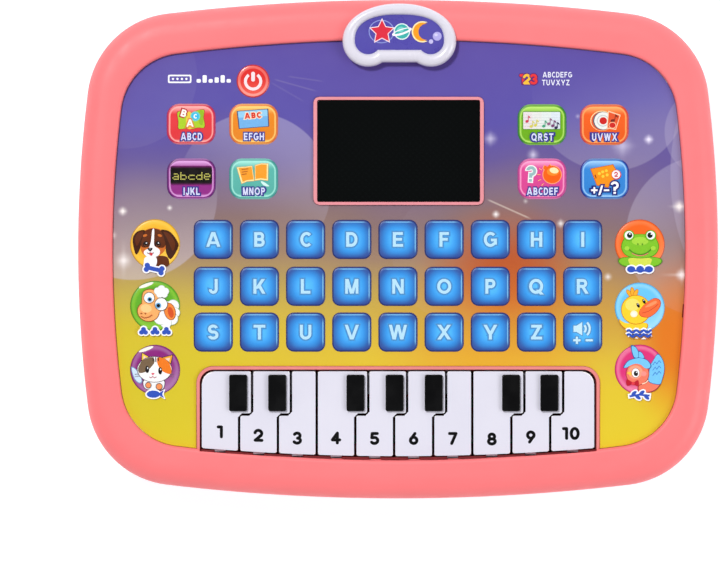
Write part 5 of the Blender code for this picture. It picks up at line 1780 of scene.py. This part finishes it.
def finish_inner_nodes():
    """The CAD pieces inside the case keep their shapes and get their materials."""
    wires = {
        "battery_lead_red": wire_material("red_insulation", srgb(190, 20, 26)),
        "battery_lead_black": wire_material("black_insulation", srgb(22, 22, 24)),
        "speaker_lead": wire_material("grey_insulation", srgb(70, 70, 76)),
        "display_cable": wire_material("white_insulation", srgb(226, 226, 224)),
    }
    by_slot = {
        "clear_film": CLEAR, "white_plastic": WHITE, "black_plastic": BLACK, "circuit_board": BOARD,
        "silicone": SILICONE_AND_GAP_SHADE, "steel": STEEL, "speaker_paper": PAPER, "cell_sleeve": CELL,
    }
    slots = {part["node"]: part["material_slot"] for part in frame["record"]["subparts"]}
    for name, obj in frame["nodes"].items():
        mat = wires.get(name) or by_slot.get(slots[name])
        if mat is not None:
            obj.data.materials.clear()
            obj.data.materials.append(mat)


# ---- Stage ---------------------------------------------------------------------------------------


def build_stage():
    """A pale floor that glows a little, so that the casing does not stain it, and shows from above only."""
    mesh = bpy.data.meshes.new("floor")
    size = 3.0
    corners = [(-size, -size, 0), (size, -size, 0), (size, size, 0), (-size, size, 0)]
    mesh.from_pydata(corners, [], [(0, 1, 2, 3)])
    floor = bpy.data.objects.new("floor", mesh)
    bpy.context.scene.collection.objects.link(floor)
    p = Pattern("pale_floor")
    p.finish(srgb(176, 178, 180), 0.9, Emission_Strength=0.8)
    p.shader.inputs["Emission Color"].default_value = (*srgb(250, 251, 255), 1.0)
    clear = p.tree.nodes.new("ShaderNodeBsdfTransparent")
    side = p.tree.nodes.new("ShaderNodeNewGeometry")
    choose = p.tree.nodes.new("ShaderNodeMixShader")
    output = p.tree.nodes["Material Output"]
    p.tree.links.new(side.outputs["Backfacing"], choose.inputs[0])
    p.tree.links.new(p.shader.outputs[0], choose.inputs[1])
    p.tree.links.new(clear.outputs[0], choose.inputs[2])
    p.tree.links.new(choose.outputs[0], output.inputs[0])
    mesh.materials.append(p.material)


def add_light(name, place, target, size, power):
    light = bpy.data.lights.new(name, "AREA")
    light.shape = "DISK"
    light.size = size
    light.energy = power
    obj = bpy.data.objects.new(name, light)
    obj.location = place
    obj.rotation_euler = (Vector(target) - Vector(place)).to_track_quat("-Z", "Y").to_euler()
    bpy.context.scene.collection.objects.link(obj)


def build_lights():
    """A white studio, dark overhead so that faces seen from above keep their colours, and two lamps."""
    world = bpy.data.worlds.new("studio")
    bpy.context.scene.world = world
    world.use_nodes = True
    tree = world.node_tree
    background = tree.nodes["Background"]
    way = tree.nodes.new("ShaderNodeTexCoord")
    split = tree.nodes.new("ShaderNodeSeparateXYZ")
    ramp = tree.nodes.new("ShaderNodeValToRGB")
    tree.links.new(way.outputs["Generated"], split.inputs[0])
    tree.links.new(split.outputs["Z"], ramp.inputs[0])
    tree.links.new(ramp.outputs["Color"], background.inputs["Color"])
    ramp.color_ramp.interpolation = "EASE"
    side, overhead = ramp.color_ramp.elements
    side.position, side.color = 0.62, (1.0, 1.0, 1.0, 1.0)
    overhead.position, overhead.color = 0.88, (0.07, 0.07, 0.075, 1.0)
    background.inputs["Strength"].default_value = 0.7
    add_light("key_light", (-1.3, 1.7, 3.75), (0, 0, 0), 0.7, 118.0)
    add_light("fill_light", (1.4, -0.4, 1.2), (0, 0, 0), 1.0, 11.0)
    bpy.context.scene.view_settings.view_transform = "Standard"


def build_camera():
    """Straight down on the face. The toy sits right of and above the middle of the view, which is shifted."""
    view_width, lens, sensor = 258.8, 200.0, 36.0
    off_right, off_up = 13.659, 12.329
    camera = bpy.data.cameras.new("camera")
    camera.lens = lens
    camera.sensor_width = sensor
    camera.shift_x, camera.shift_y = -off_right / view_width, -off_up / view_width
    camera.clip_end = 20.0
    obj = bpy.data.objects.new("camera", camera)
    obj.location = (0.0, 0.0, (view_width * lens / sensor + 19.0) * MM)
    bpy.context.scene.collection.objects.link(obj)
    bpy.context.scene.camera = obj


build_front_shell()
build_lips()
build_rear_shell()
build_feet()
build_screws()
build_battery_door()
build_badge()
build_screen()
build_film()
build_letter_keys()
build_function_keys()
build_animal_keys()
build_power_key()
build_top_prints()
build_badge_art()
build_piano()
build_piano_trim()
finish_inner_nodes()
build_stage()
build_lights()
build_camera()
